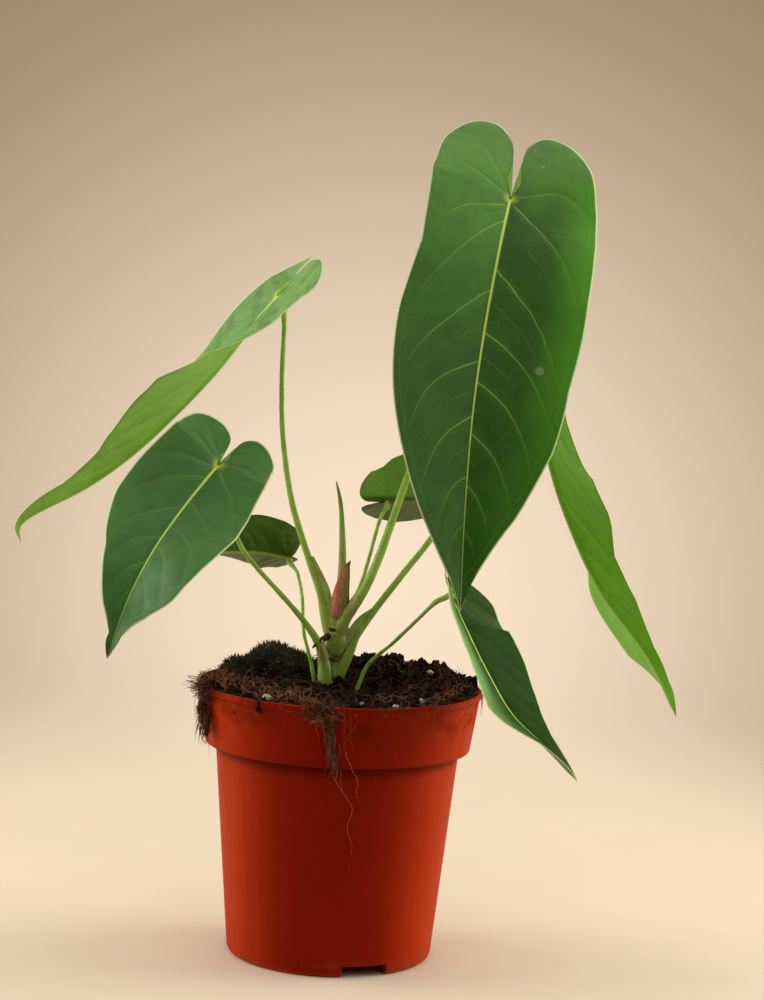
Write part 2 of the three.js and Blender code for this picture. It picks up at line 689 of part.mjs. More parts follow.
// What grows from the stem is trimmed to its surface, and each piece clears those before it
const trimmers = [tube(STEM, GAP)];
function addTrimmed(name, make, look) {
  addPiece(name, make(0).subtract(joined(trimmers)), look);
  trimmers.push(make(GAP));
}
Object.keys(PETIOLES).forEach((name) => {
  addTrimmed(`petiole_${name}`, (extra) => petiole(name, extra), "petiole");
});
addTrimmed("young_leaf", (extra) => tube(YOUNG_LEAF, extra), "youngLeaf");
addTrimmed("sheath", (extra) => tube(SHEATH, extra), "sheath");
addTrimmed("aerial_root", (extra) => tube(AERIAL_ROOT, extra), "root");

Object.entries(LEAVES).forEach(([name, leaf]) => addPiece(`blade_${name}`, blade(leaf), "blade"));

const thickPot = lathe(potSection(GAP), POT_SEGMENTS);
addPiece("moss", lumps(MOSS).subtract(thickPot), "moss");
addPiece("soil", makeSoil(thickPot, [lumps(MOSS, GAP), ...trimmers]), "soil");

export default plant;
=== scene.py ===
# %% [markdown]
# # A young anthurium in its nursery pot
#
# This lesson dresses a finished set of solids with the looks of a real plant: long heart-shaped
# leaves with pale veins, thin stalks, a short jointed stem, moss and peat, and an orange pot.
#
# The solids give every size. Each piece that we model here stands in for one of them, lies in the
# same place, and adds what the solids leave out: veins, fine roots, crumbs, grain and dirt. Lengths
# are in metres, +Z is up, and the largest leaf faces -Y.

import json
import math
import random

import bpy
import numpy as np
from mathutils import Matrix, Vector, kdtree, noise
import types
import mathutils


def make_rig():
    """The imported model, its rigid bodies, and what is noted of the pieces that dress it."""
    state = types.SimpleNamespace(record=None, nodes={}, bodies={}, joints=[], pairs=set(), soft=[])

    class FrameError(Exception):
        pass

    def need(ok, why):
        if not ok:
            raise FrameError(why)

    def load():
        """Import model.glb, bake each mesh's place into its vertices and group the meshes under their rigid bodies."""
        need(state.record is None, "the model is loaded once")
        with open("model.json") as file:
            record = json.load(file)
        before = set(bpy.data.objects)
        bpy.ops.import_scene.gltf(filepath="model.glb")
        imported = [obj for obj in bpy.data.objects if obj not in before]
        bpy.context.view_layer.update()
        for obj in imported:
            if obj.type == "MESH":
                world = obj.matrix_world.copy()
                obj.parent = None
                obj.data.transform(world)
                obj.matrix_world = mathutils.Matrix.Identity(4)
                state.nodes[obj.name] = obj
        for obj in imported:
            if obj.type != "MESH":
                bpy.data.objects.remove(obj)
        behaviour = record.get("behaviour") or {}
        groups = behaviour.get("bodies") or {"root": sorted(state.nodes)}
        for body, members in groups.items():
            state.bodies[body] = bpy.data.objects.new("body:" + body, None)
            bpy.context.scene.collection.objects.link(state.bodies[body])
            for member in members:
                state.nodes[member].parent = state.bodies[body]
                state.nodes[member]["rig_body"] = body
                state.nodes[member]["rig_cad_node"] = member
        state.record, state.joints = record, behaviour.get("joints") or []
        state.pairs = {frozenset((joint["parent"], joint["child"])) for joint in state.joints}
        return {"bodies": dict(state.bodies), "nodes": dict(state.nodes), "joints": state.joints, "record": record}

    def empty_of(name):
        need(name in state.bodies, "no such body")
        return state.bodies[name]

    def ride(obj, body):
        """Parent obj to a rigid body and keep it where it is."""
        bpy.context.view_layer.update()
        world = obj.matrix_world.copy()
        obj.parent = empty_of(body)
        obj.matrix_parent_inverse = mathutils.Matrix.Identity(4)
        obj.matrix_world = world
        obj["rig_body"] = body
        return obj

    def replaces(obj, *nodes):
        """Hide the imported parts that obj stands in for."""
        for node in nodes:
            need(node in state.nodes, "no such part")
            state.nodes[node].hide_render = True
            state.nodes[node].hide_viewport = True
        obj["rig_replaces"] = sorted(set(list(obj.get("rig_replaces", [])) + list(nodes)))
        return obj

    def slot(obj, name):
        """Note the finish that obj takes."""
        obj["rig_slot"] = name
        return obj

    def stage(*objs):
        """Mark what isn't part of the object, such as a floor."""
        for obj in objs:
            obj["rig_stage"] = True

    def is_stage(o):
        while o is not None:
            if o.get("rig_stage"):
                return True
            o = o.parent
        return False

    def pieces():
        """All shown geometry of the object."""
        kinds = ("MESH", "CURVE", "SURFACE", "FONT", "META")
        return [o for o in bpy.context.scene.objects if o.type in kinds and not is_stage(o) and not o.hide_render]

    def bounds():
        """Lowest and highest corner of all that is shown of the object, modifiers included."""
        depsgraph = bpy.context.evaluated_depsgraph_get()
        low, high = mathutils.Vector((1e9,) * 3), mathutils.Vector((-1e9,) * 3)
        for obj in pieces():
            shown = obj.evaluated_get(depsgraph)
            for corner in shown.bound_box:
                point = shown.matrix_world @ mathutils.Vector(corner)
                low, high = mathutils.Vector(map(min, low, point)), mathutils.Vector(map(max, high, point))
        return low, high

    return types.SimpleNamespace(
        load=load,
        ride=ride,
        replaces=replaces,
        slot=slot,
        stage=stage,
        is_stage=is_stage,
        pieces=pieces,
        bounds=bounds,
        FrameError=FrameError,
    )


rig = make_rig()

bpy.ops.object.select_all(action="SELECT")
bpy.ops.object.delete()
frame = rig.load()
cad_box = [list(corner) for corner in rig.bounds()]
MM = 0.001
print("solids in the frame:", len(frame["nodes"]))

# %% [markdown]
# ## Camera
#
# The photograph was taken from a little over a metre away, slightly above the leaves' middle, with
# the camera tipped down by five degrees and leaning by almost three. We build the camera's turned
# axes from those two angles. A long lens keeps the pot's sides nearly parallel, as in the picture.

# %% Place the camera
CAMERA_PLACE = Vector((0.014, -1.080, 0.294))
CAMERA_LENS = 93
CAMERA_DOWN = math.radians(5.3)
CAMERA_LEAN = math.radians(2.7)


def add_camera():
    ahead = Vector((0, math.cos(CAMERA_DOWN), -math.sin(CAMERA_DOWN)))
    up = Vector((0, math.sin(CAMERA_DOWN), math.cos(CAMERA_DOWN)))
    right = Vector((1, 0, 0))
    leaning_right = right * math.cos(CAMERA_LEAN) + up * math.sin(CAMERA_LEAN)
    leaning_up = up * math.cos(CAMERA_LEAN) - right * math.sin(CAMERA_LEAN)
    bpy.ops.object.camera_add(location=CAMERA_PLACE)
    camera = bpy.context.object
    camera.rotation_euler = Matrix((leaning_right, leaning_up, -ahead)).transposed().to_euler()
    camera.data.lens = CAMERA_LENS
    bpy.context.scene.camera = camera
    return camera


camera = add_camera()
print("camera lens:", camera.data.lens, "mm")

# %% [markdown]
# ## Materials, in a few helpers
#
# A material is a small machine of nodes. Here a helper adds a node and fills its inputs, and a
# node's output is wrapped as a Value, so that a sum with it adds the nodes for that sum. Colours
# are written as they look on a screen and turned into the linear light that nodes work in.


# %% Helpers for nodes
class Value:
    """The output of a node"""

    def __init__(self, socket):
        self.socket = socket
        self.tree = socket.id_data

    def sum(self, operation, other=0):
        return value_from(self.tree, "Math", "Value", {0: self, 1: other}, operation=operation)

    def __add__(self, other):
        return self.sum("ADD", other)

    def __sub__(self, other):
        return self.sum("SUBTRACT", other)

    def __mul__(self, other):
        return self.sum("MULTIPLY", other)

    def __truediv__(self, other):
        return self.sum("DIVIDE", other)

    def __pow__(self, other):
        return self.sum("POWER", other)

    def __abs__(self):
        return self.sum("ABSOLUTE")

    def __round__(self, _=None):
        return self.sum("ROUND")


def colour(red, green, blue):
    """A screen colour from 0 to 255 as linear light"""
    linear = []
    for level in (red, green, blue):
        share = level / 255
        linear.append(share / 12.92 if share <= 0.04045 else ((share + 0.055) / 1.055) ** 2.4)
    return (*linear, 1)


def feed(value, node, name):
    """Links a value to a node's input"""
    value.tree.links.new(value.socket, node.inputs[name])


def add_node(tree, kind, inputs=None, **settings):
    """A new node, with its inputs by name linked or set"""
    made = tree.nodes.new("ShaderNode" + kind)
    for name, value in settings.items():
        setattr(made, name, value)
    for name, value in (inputs or {}).items():
        if isinstance(value, Value):
            feed(value, made, name)
        else:
            made.inputs[name].default_value = value
    return made


def value_from(tree, kind, output, inputs=None, **settings):
    """One output of a new node"""
    return Value(add_node(tree, kind, inputs, **settings).outputs[output])


def larger(first, second):
    return first.sum("MAXIMUM", second)


def part(vector_value, axis):
    """The X, Y or Z of a vector"""
    return value_from(vector_value.tree, "SeparateXYZ", axis, {"Vector": vector_value})


def vector(operation, *values):
    """A sum with vectors. A length or a distance is a number, any other result a vector."""
    output = "Value" if operation in ("LENGTH", "DISTANCE") else "Vector"
    return value_from(values[0].tree, "VectorMath", output, dict(enumerate(values)), operation=operation)


def mapped(place, **changes):
    """A place turned or stretched, for patterns that lean or run one way"""
    return value_from(place.tree, "Mapping", "Vector", {"Vector": place, **changes})


def mix(amount, first, second):
    """The colour that lies between two others, which are values or screen colours"""
    first, second = (one if isinstance(one, Value) else colour(*one) for one in (first, second))
    return value_from(amount.tree, "MixRGB", "Color", {"Fac": amount, "Color1": first, "Color2": second})


def layered(tone, *layers):
    """Lays colours over a first one, each by its own mask"""
    for amount, over in layers:
        tone = mix(amount, tone, over)
    return tone


def ease(value, low, high, start=0, end=1):
    """A value that goes softly from start to end while the first one goes from low to high"""
    inputs = {"Value": value, "From Min": low, "From Max": high, "To Min": start, "To Max": end}
    return value_from(value.tree, "MapRange", "Result", inputs, interpolation_type="SMOOTHSTEP")


def cloud(place, scale, detail=3, roughness=0.5):
    """Soft random patches, from 0 to 1"""
    inputs = {"Vector": place, "Scale": scale, "Detail": detail, "Roughness": roughness}
    return value_from(place.tree, "TexNoise", "Fac", inputs)


def read_value(tree, name):
    """What a mesh's own attribute says"""
    return value_from(tree, "Attribute", "Fac", attribute_name=name)


class Skin:
    """A new material. Its fixed inputs are set on the shader's own sockets."""

    def __init__(self, name, **fixed):
        self.material = bpy.data.materials.new(name)
        self.material.use_nodes = True
        self.tree = self.material.node_tree
        self.shader = self.tree.nodes["Principled BSDF"]
        self.place = value_from(self.tree, "TexCoord", "Object")
        for socket, value in fixed.items():
            self.shader.inputs[socket.replace("_", " ")].default_value = value

    def finish(self, tone, height=None, depth=0, strength=1, rough=None):
        """Feeds the shader. depth is the height of 1 in metres."""
        feed(tone, self.shader, "Base Color")
        if rough is not None:
            feed(rough, self.shader, "Roughness")
        if height is not None:
            inputs = {"Height": height, "Distance": depth, "Strength": strength}
            feed(value_from(self.tree, "Bump", "Normal", inputs), self.shader, "Normal")
        return self.material


# %% [markdown]
# ## Shared effects
#
# Two effects come back in many materials, so each is a node group that is built once. "Mottle" lays
# large, middle and fine patches over each other. "Soil dirt" gives a mask of smears and specks near
# a given height, for the peat that clings to the collar and to the stem's foot.


# %% Node groups for mottle and dirt
def start_group(name, inputs, outputs):
    """A group with the values given to it, by name, and the node that takes its results"""
    group = bpy.data.node_groups.new(name, "ShaderNodeTree")
    for label, value in inputs.items():
        kind = "NodeSocketVector" if value is None else "NodeSocketFloat"
        made = group.interface.new_socket(name=label, in_out="INPUT", socket_type=kind)
        if value is not None:
            made.default_value = value
    for label in outputs:
        group.interface.new_socket(name=label, in_out="OUTPUT", socket_type="NodeSocketFloat")
    sockets = group.nodes.new("NodeGroupInput").outputs
    return group, {label: Value(sockets[label]) for label in inputs}, group.nodes.new("NodeGroupOutput")


def from_group(group, output, place, **values):
    return value_from(place.tree, "Group", output, {"Place": place, **values}, node_tree=group)


def build_mottle():
    group, given, result = start_group("mottle", {"Place": None, "Scale": 40}, ["Value"])
    large, middle, fine = (
        cloud(given["Place"], given["Scale"] * finer if finer > 1 else given["Scale"], detail)
        for finer, detail in ((1, 2), (5.3, 3), (31, 2))
    )
    feed(ease(large * 0.5 + middle * 0.32 + fine * 0.18, 0.3, 0.7), result, "Value")
    return group


def build_dirt():
    inputs = {"Place": None, "Height": 0.115, "Reach": 0.02}
    group, given, result = start_group("soil dirt", inputs, ["Mask"])
    place = given["Place"]
    away = abs(part(place, "Z") - given["Height"])
    near = ease(away / given["Reach"], 0, 1, 1, 0)
    smeared = ease(cloud(place, 70, 5, 0.62) + near * 0.16, 0.64, 0.76)
    speckled = ease(cloud(place, 620, 3, 0.6) + near * 0.09, 0.69, 0.74)
    feed(larger(smeared, speckled) * near, result, "Mask")
    return group


mottle_group = build_mottle()
dirt_group = build_dirt()


def mottle(place, scale):
    return from_group(mottle_group, "Value", place, Scale=scale)


def dirt(place, height, reach):
    return from_group(dirt_group, "Mask", place, Height=height, Reach=reach)


print("node groups:", len(bpy.data.node_groups))

# %% [markdown]
# ## Floor and studio light
#
# The plant stands on a pale floor that fades out into the world, so no edge shows behind it. The
# world has two jobs. What the eye sees is a warm beige that is brightest low behind the plant and
# darkens all round, as on a lit paper roll. What lights the plant is bright overhead, like a
# ceiling of white cloth, and dark in front. A Light Path node tells the two apart. A low panel on
# each side then gives the two long bright bands down the pot and leaves its middle darker.
# The pot's plastic adds painted light to those bands and painted shade to its middle.

# %% Floor, lights and world
FLOOR_SIZE = 3
LOOK_AT = Vector((0, 0, 0.17))
BRIGHTEST = Vector((0, 1, -0.13)).normalized()
# Name, place, width in metres and power in watts of each light panel
PANELS = [
    ("left_panel", (-1, 0.12, 0.36), 0.7, 7),
    ("right_panel", (1, 0.2, 0.36), 0.7, 9),
    ("front_panel", (-0.5, -1.3, 1.1), 0.6, 0.8),
]


def add_floor():
    """A pale floor whose rim fades out"""
    bpy.ops.mesh.primitive_plane_add(size=FLOOR_SIZE)
    floor = bpy.context.object
    floor.name = "floor"
    skin = Skin("pale floor", Roughness=0.8)
    skin.finish(mix(mottle(skin.place, 1.5), (223, 208, 188), (230, 215, 197)))
    feed(ease(vector("LENGTH", skin.place), 0.16, 0.75, 1, 0), skin.shader, "Alpha")
    floor.data.materials.append(skin.material)
    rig.stage(floor)


def add_panel(name, place, size, power):
    bpy.ops.object.light_add(type="AREA", location=place)
    panel = bpy.context.object
    panel.name = name
    panel.data.size = size
    panel.data.energy = power
    panel.data.color = (1, 0.96, 0.9)
    panel.rotation_euler = (LOOK_AT - Vector(place)).to_track_quat("-Z", "Y").to_euler()


def add_world():
    """One colour for what the eye sees behind the plant, another for what lights it"""
    world = bpy.data.worlds.new("beige studio")
    bpy.context.scene.world = world
    world.use_nodes = True
    tree = world.node_tree
    direction = value_from(tree, "TexCoord", "Generated")
    away = vector("DISTANCE", direction, BRIGHTEST)
    seen = mix(ease(away, 0, 0.28), (252, 229, 201), (166, 142, 115))
    seen = layered(seen, (ease(away, 0.2, 0.5), (118, 96, 76)), (ease(away, 0.6, 1.2), (206, 188, 164)))
    height = part(direction, "Z")
    light = layered(
        mix(ease(part(direction, "Y"), 0.35, -0.6), (226, 204, 176), (44, 39, 33)),
        (ease(height, 0.2, 0.7), (250, 240, 224)),
        (ease(height, -0.02, -0.3), (176, 156, 130)),
    )
    eye = value_from(tree, "LightPath", "Is Camera Ray")
    feed(mix(eye, light, seen), tree.nodes["Background"], "Color")
    tree.nodes["Background"].inputs["Strength"].default_value = 1


add_floor()
for panel in PANELS:
    add_panel(*panel)
add_world()
bpy.context.scene.view_settings.view_transform = "Standard"
print("light panels:", len(PANELS))

# %% [markdown]
# ## Helpers for making pieces
#
# In edit mode an operator acts on whatever is selected, so every new piece starts with nothing else
# selected. To pick vertices by their place we leave edit mode, mark them and go back in. A finished
# piece gets its material and names the solid that it stands for.


# %% Helpers for pieces
def to_object_mode():
    if bpy.context.object is not None and bpy.context.object.mode != "OBJECT":
        bpy.ops.object.mode_set(mode="OBJECT")


def clear_selection():
    to_object_mode()
    bpy.ops.object.select_all(action="DESELECT")


def only(piece):
    clear_selection()
    piece.select_set(True)
    bpy.context.view_layer.objects.active = piece


def edit(piece, pick=None):
    """Opens a piece in edit mode with all vertices selected, or those whose place passes pick"""
    only(piece)
    bpy.ops.object.mode_set(mode="EDIT")
    bpy.ops.mesh.select_mode(type="VERT")
    bpy.ops.mesh.select_all(action="DESELECT" if pick else "SELECT")
    if pick:
        bpy.ops.object.mode_set(mode="OBJECT")
        for vertex in piece.data.vertices:
            vertex.select = pick(vertex.co)
        bpy.ops.object.mode_set(mode="EDIT")


def close_up(piece, gap=1e-6):
    """Merges vertices that lie on one place and turns all faces outwards"""
    edit(piece)
    bpy.ops.mesh.remove_doubles(threshold=gap)
    bpy.ops.mesh.normals_make_consistent(inside=False)
    to_object_mode()


def smooth(piece, angle=None):
    """Smooth shading, all over or only where faces meet at less than an angle in degrees"""
    only(piece)
    if angle is None:
        bpy.ops.object.shade_smooth()
    else:
        bpy.ops.object.shade_smooth_by_angle(angle=math.radians(angle))


def roughen(piece, depth, scale):
    """Moves each vertex a little in or out"""
    for vertex in piece.data.vertices:
        vertex.co += vertex.normal * depth * noise.noise(vertex.co * scale)


def apply_modifier(piece, kind, **settings):
    only(piece)
    modifier = piece.modifiers.new(kind.lower(), kind)
    for name, value in settings.items():
        setattr(modifier, name, value)
    bpy.ops.object.modifier_apply(modifier=modifier.name)


def join(pieces, name):
    clear_selection()
    for piece in pieces:
        piece.select_set(True)
    bpy.context.view_layer.objects.active = pieces[0]
    bpy.ops.object.join()
    bpy.context.object.name = name
    return bpy.context.object


def settle(piece):
    """Puts a piece's place and turn into its mesh, so that its object sits at the origin"""
    only(piece)
    bpy.ops.object.transform_apply(location=True, rotation=True, scale=True)


def hand_in(piece, slot, materials, nodes=()):
    """Gives a finished piece its materials and tells the frame what it is"""
    settle(piece)
    for material in materials:
        piece.data.materials.append(material)
    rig.ride(piece, "root")
    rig.slot(piece, slot)
    if nodes:
        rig.replaces(piece, *nodes)
    print(f"{piece.name}: {len(piece.data.polygons)} faces")


# %% [markdown]
# ## The pot
#
# A nursery pot is injection moulded: a thin tapered cup with a wide collar that lets pots stack,
# and a small lip. Its shape is the same all the way round, so one half section is enough. We
# extrude a single vertex along that section, soften its corners with a vertex bevel, and spin it.
# Then three notches and six drain holes are cut from the foot, as in the mould.

# %% Pot sizes
POT_HEIGHT = 0.115
RIM_RADIUS = 0.060
COLLAR_HEIGHT = 0.0255
COLLAR_FOOT_RADIUS = 0.056
BODY_TOP_RADIUS = 0.0515
BODY_FOOT_RADIUS = 0.0435
POT_WALL = 0.0012
LIP_HEIGHT = 0.0026
LIP_STAND_OUT = 0.0007
FOOT_HEIGHT = 0.0052
FOOT_ROUNDING = 0.003
FOOT_RING_WIDTH = 0.0045
CENTRE_PAD_RADIUS = 0.012
NOTCH_SIZE = (0.020, 0.018, 0.010)
NOTCH_ANGLES = (22, 142, 262)
DRAIN_RADIUS = 0.0035
DRAIN_RING = 0.027
POT_STEPS = 180


def pot_section():
    """Half a section as [radius, height], from the centre of the underside round to the inside"""
    collar_foot = POT_HEIGHT - COLLAR_HEIGHT
    lip_foot = POT_HEIGHT - LIP_HEIGHT
    floor_edge = BODY_FOOT_RADIUS - FOOT_RING_WIDTH
    section = [
        (0, 0),
        (CENTRE_PAD_RADIUS, 0),
        (CENTRE_PAD_RADIUS + 0.001, FOOT_HEIGHT),
        (floor_edge - 0.001, FOOT_HEIGHT),
        (floor_edge, 0),
    ]
    for step in range(7):
        turn = math.pi / 2 * step / 6
        radius = BODY_FOOT_RADIUS - FOOT_ROUNDING * (1 - math.sin(turn))
        section.append((radius, FOOT_ROUNDING * (1 - math.cos(turn))))
    section += [
        (BODY_TOP_RADIUS, collar_foot),
        (COLLAR_FOOT_RADIUS - 0.0003, collar_foot),
        (COLLAR_FOOT_RADIUS, collar_foot + 0.0006),
        (RIM_RADIUS - LIP_STAND_OUT, lip_foot - 0.0004),
        (RIM_RADIUS, lip_foot),
        (RIM_RADIUS, POT_HEIGHT - 0.0005),
        (RIM_RADIUS - 0.0005, POT_HEIGHT),
        (RIM_RADIUS - POT_WALL, POT_HEIGHT),
        (RIM_RADIUS - POT_WALL, lip_foot),
        (COLLAR_FOOT_RADIUS - POT_WALL, collar_foot + POT_WALL),
        (BODY_TOP_RADIUS - POT_WALL, collar_foot + POT_WALL),
        (BODY_FOOT_RADIUS - POT_WALL, FOOT_HEIGHT + POT_WALL),
        (0, FOOT_HEIGHT + POT_WALL),
    ]
    return section


# %% Extrude the section, round its corners and spin it
def extruded_line(name, places):
    """A line drawn by extruding one vertex from place to place"""
    clear_selection()
    bpy.ops.mesh.primitive_plane_add(size=0.001)
    piece = bpy.context.object
    piece.name = name
    bpy.ops.object.mode_set(mode="EDIT")
    bpy.ops.mesh.merge(type="CENTER")
    bpy.ops.transform.translate(value=places[0])
    for before, after in zip(places, places[1:]):
        step = tuple(b - a for a, b in zip(before, after))
        bpy.ops.mesh.extrude_region_move(TRANSFORM_OT_translate={"value": step})
    to_object_mode()
    return piece


pot = extruded_line("pot_shell", [(radius, 0, height) for radius, height in pot_section()])
edit(pot, lambda place: place.x > 0.001)
bpy.ops.mesh.bevel(offset=0.00035, segments=3, affect="VERTICES", clamp_overlap=True)
bpy.ops.mesh.select_all(action="SELECT")
bpy.ops.mesh.spin(steps=POT_STEPS, angle=2 * math.pi, center=(0, 0, 0), axis=(0, 0, 1))
close_up(pot)
print("pot rings:", len(pot.data.vertices) // POT_STEPS)


# %% Cut the notches and drain holes
def around_pot(degrees, radius):
    """A place round the pot, from the front, -Y, towards +X"""
    return radius * math.sin(math.radians(degrees)), -radius * math.cos(math.radians(degrees))


def cut_away(piece, cutter):
    close_up(cutter)
    apply_modifier(piece, "BOOLEAN", operation="DIFFERENCE", solver="EXACT", object=cutter)
    only(cutter)
    bpy.ops.object.delete()


def notch_cutter(degrees):
    clear_selection()
    x, y = around_pot(degrees, BODY_FOOT_RADIUS - FOOT_RING_WIDTH / 2)
    turn = (0, 0, math.radians(degrees))
    bpy.ops.mesh.primitive_cube_add(size=1, location=(x, y, 0), rotation=turn, scale=NOTCH_SIZE)
    cutter = bpy.context.object
    settle(cutter)
    edit(cutter)
    bpy.ops.mesh.bevel(offset=0.0008, segments=3)
    to_object_mode()
    return cutter


def drain_cutter(degrees):
    clear_selection()
    x, y = around_pot(degrees, DRAIN_RING)
    bpy.ops.mesh.primitive_cylinder_add(
        vertices=32, radius=DRAIN_RADIUS, depth=4 * POT_WALL, location=(x, y, FOOT_HEIGHT + POT_WALL / 2)
    )
    cutter = bpy.context.object
    settle(cutter)
    return cutter


cutters = [notch_cutter(degrees) for degrees in NOTCH_ANGLES]
cutters += [drain_cutter(60 * hole + 30) for hole in range(6)]
cut_away(pot, join(cutters, "pot_cutters"))
smooth(pot, 32)
print("notches and holes:", len(cutters))

# %% [markdown]
# ## Pot plastic
#
# The plastic is orange-red polypropylene with a satin skin. Its colour hardly varies, so what makes
# it real is small: a moulded "orange peel" in the highlights, faint upright flow lines, a few pale
# scuffs, and dark smears of peat under the rim where the pot was handled.


# %% Pot material
# Specks of peat on the collar, in millimetres
POT_SPECKS = [(-42, -42, 108), (17, -57, 98), (40, -43, 93), (57, -18, 100), (56, -18, 97)]


def spot_distance(place, at, size):
    """0 in the middle of a spot and 1 at its edge. Its place and half sizes are in millimetres."""
    shifted = vector("SUBTRACT", place, tuple(value * MM for value in at))
    away = vector("LENGTH", vector("MULTIPLY", shifted, tuple(1 / (value * MM) for value in size)))
    return away + (cloud(place, 700) - 0.5) * 0.6


def pot_plastic():
    """Painted shade where it faces the eye and painted light where it turns away, as in the photograph"""
    skin = Skin("satin orange plastic", IOR=1.47, Specular_IOR_Level=0.03)
    place = skin.place
    level = part(place, "Z")
    flow = cloud(mapped(place, Scale=(1, 1, 0.06)), 160)
    patches = mottle(place, 14)
    # middle is the plastic in painted shade and side the same plastic in painted light
    middle = mix(patches, (120, 19, 1), (130, 22, 2))
    side = mix(patches, (166, 47, 8), (176, 53, 10))
    facing = value_from(skin.tree, "LayerWeight", "Facing", {"Blend": 0.5})
    leaning = mapped(place, Rotation=(0.5, 0.2, 0.4), Scale=(9, 9, 0.5))
    scuff = ease(cloud(leaning, 75, 2), 0.735, 0.78, 0, 0.5)
    smear = dirt(place, 0.108, 0.019)
    tone = layered(
        # painted shade in the middle of the pot and painted light towards its sides, by how it faces
        mix(ease(facing, 0.06, 0.6), middle, side),
        (ease(flow, 0.35, 0.75, 0, 0.16), (120, 19, 2)),
        (scuff, (170, 62, 28)),
        (smear * 0.3, (48, 30, 20)),
    )
    for at in POT_SPECKS:
        speck = spot_distance(place, at, (0.9, 4, 0.6))
        tone = mix(ease(speck, 0.7, 1.1, 0.8, 0), tone, (40, 22, 14))
    # Painted shadow: a dark band just under the collar's overhang
    painted_collar_shadow = ease(level, 0.0835, 0.0885, 0, 0.75) * ease(level, 0.0905, 0.0895)
    tone = layered(
        tone,
        # painted shade: a darker line just under the lip
        (ease(abs(level - 0.112), 0.0002, 0.0006, 0.6, 0), (96, 14, 3)),
        (painted_collar_shadow, (70, 10, 2)),
        (dirt(place, 0.001, 0.012) * 0.5, (132, 62, 34)),
    )
    rough = ease(flow, 0.3, 0.7, 0.44, 0.52) + smear * 0.4 + scuff * 0.2
    return skin.finish(tone, cloud(place, 900, 2) * 0.3 + smear * 1.2, 0.00012, 0.6, rough)


hand_in(pot, "pot", [pot_plastic()], ["pot"])

# %% [markdown]
# ## Smooth lines
#
# Stalks, roots and leaf midribs follow a smooth line through a few measured places. We use a curve
# that passes through every one of them, because a curve with handles would have to be set by eye.


# %% Helpers for lines
def smooth_places(points, count):
    """Places on a smooth line through points, evenly spaced in its parameter"""
    known = np.asarray(points, float)
    ends = np.vstack([2 * known[0] - known[1], known, 2 * known[-1] - known[-2]])
    spread = np.clip(np.asarray(count, float), 0, len(known) - 1 - 1e-9)
    first = spread.astype(int)
    share = (spread - first)[:, None]
    before, start, end, after = (ends[first + k] for k in range(4))
    leave = 0.5 * (end - before)
    arrive = 0.5 * (after - start)
    return (
        (2 * share**3 - 3 * share**2 + 1) * start
        + (share**3 - 2 * share**2 + share) * leave
        + (3 * share**2 - 2 * share**3) * end
        + (share**3 - share**2) * arrive
    )


class Line:
    """A smooth line through points in millimetres, that is read by the share of its length"""

    def __init__(self, points):
        self.places = smooth_places(points, np.linspace(0, len(points) - 1, 401)) * MM
        steps = np.linalg.norm(np.diff(self.places, axis=0), axis=1)
        self.way_along = np.concatenate([[0], np.cumsum(steps)])
        self.length = self.way_along[-1]

    def at(self, share):
        way = np.clip(share, 0, 1) * self.length
        return np.stack([np.interp(way, self.way_along, self.places[:, k]) for k in range(3)], -1)

    def direction(self, share):
        share = np.clip(share, 0.004, 0.996)
        step = self.at(share + 0.004) - self.at(share - 0.004)
        return step / np.linalg.norm(step, axis=-1, keepdims=True)


def from_list(pairs, share):
    """The value at a share of the way, from a list of [share, value]"""
    return np.interp(share, [pair[0] for pair in pairs], [pair[1] for pair in pairs])


def tube_line(line, radius, rings):
    """Places along a line with their radii, from a list of [share, millimetres]"""
    shares = [ring / rings for ring in range(rings + 1)]
    return [(tuple(line.at(share)), float(from_list(radius, share)) * MM) for share in shares]


# %% [markdown]
# ## The soil
#
# The pot is filled a little over its rim with dark peat. The bed is a ring extruded inwards step by
# step to a point, whose vertices then rise and fall with a few broad mounds and two sizes of noise.
# A grid would leave a ragged edge at the round wall; rings follow it.

# %% Soil bed
SOIL_LEVEL = 0.1125
SOIL_FOOT_LEVEL = 0.098
SOIL_RADIUS = 0.0576
SOIL_FOOT_RADIUS = 0.0545
SOIL_RINGS = 44
SOIL_STEPS = 150
# Place x and y, height and spread of each mound, in metres
SOIL_MOUNDS = [
    (-0.030, 0.022, 0.006, 0.020),
    (0.040, 0.014, 0.0075, 0.016),
    (0.020, 0.034, 0.007, 0.017),
    (-0.004, 0.044, 0.0035, 0.014),
    (0.052, -0.006, 0.0035, 0.011),
    (-0.005, -0.002, 0.003, 0.008),
    (0.012, -0.004, -0.003, 0.011),
    (-0.044, -0.018, 0.004, 0.014),
]


def soil_height(x, y):
    height = SOIL_LEVEL
    for mound_x, mound_y, rise, spread in SOIL_MOUNDS:
        away = ((x - mound_x) ** 2 + (y - mound_y) ** 2) / spread**2
        height += rise * math.exp(-away)
    lumps = noise.noise(Vector((x, y, 0.3)) * 130)
    grains = noise.noise(Vector((x, y, 0.7)) * 420)
    return height + 0.0013 * lumps + 0.0007 * grains


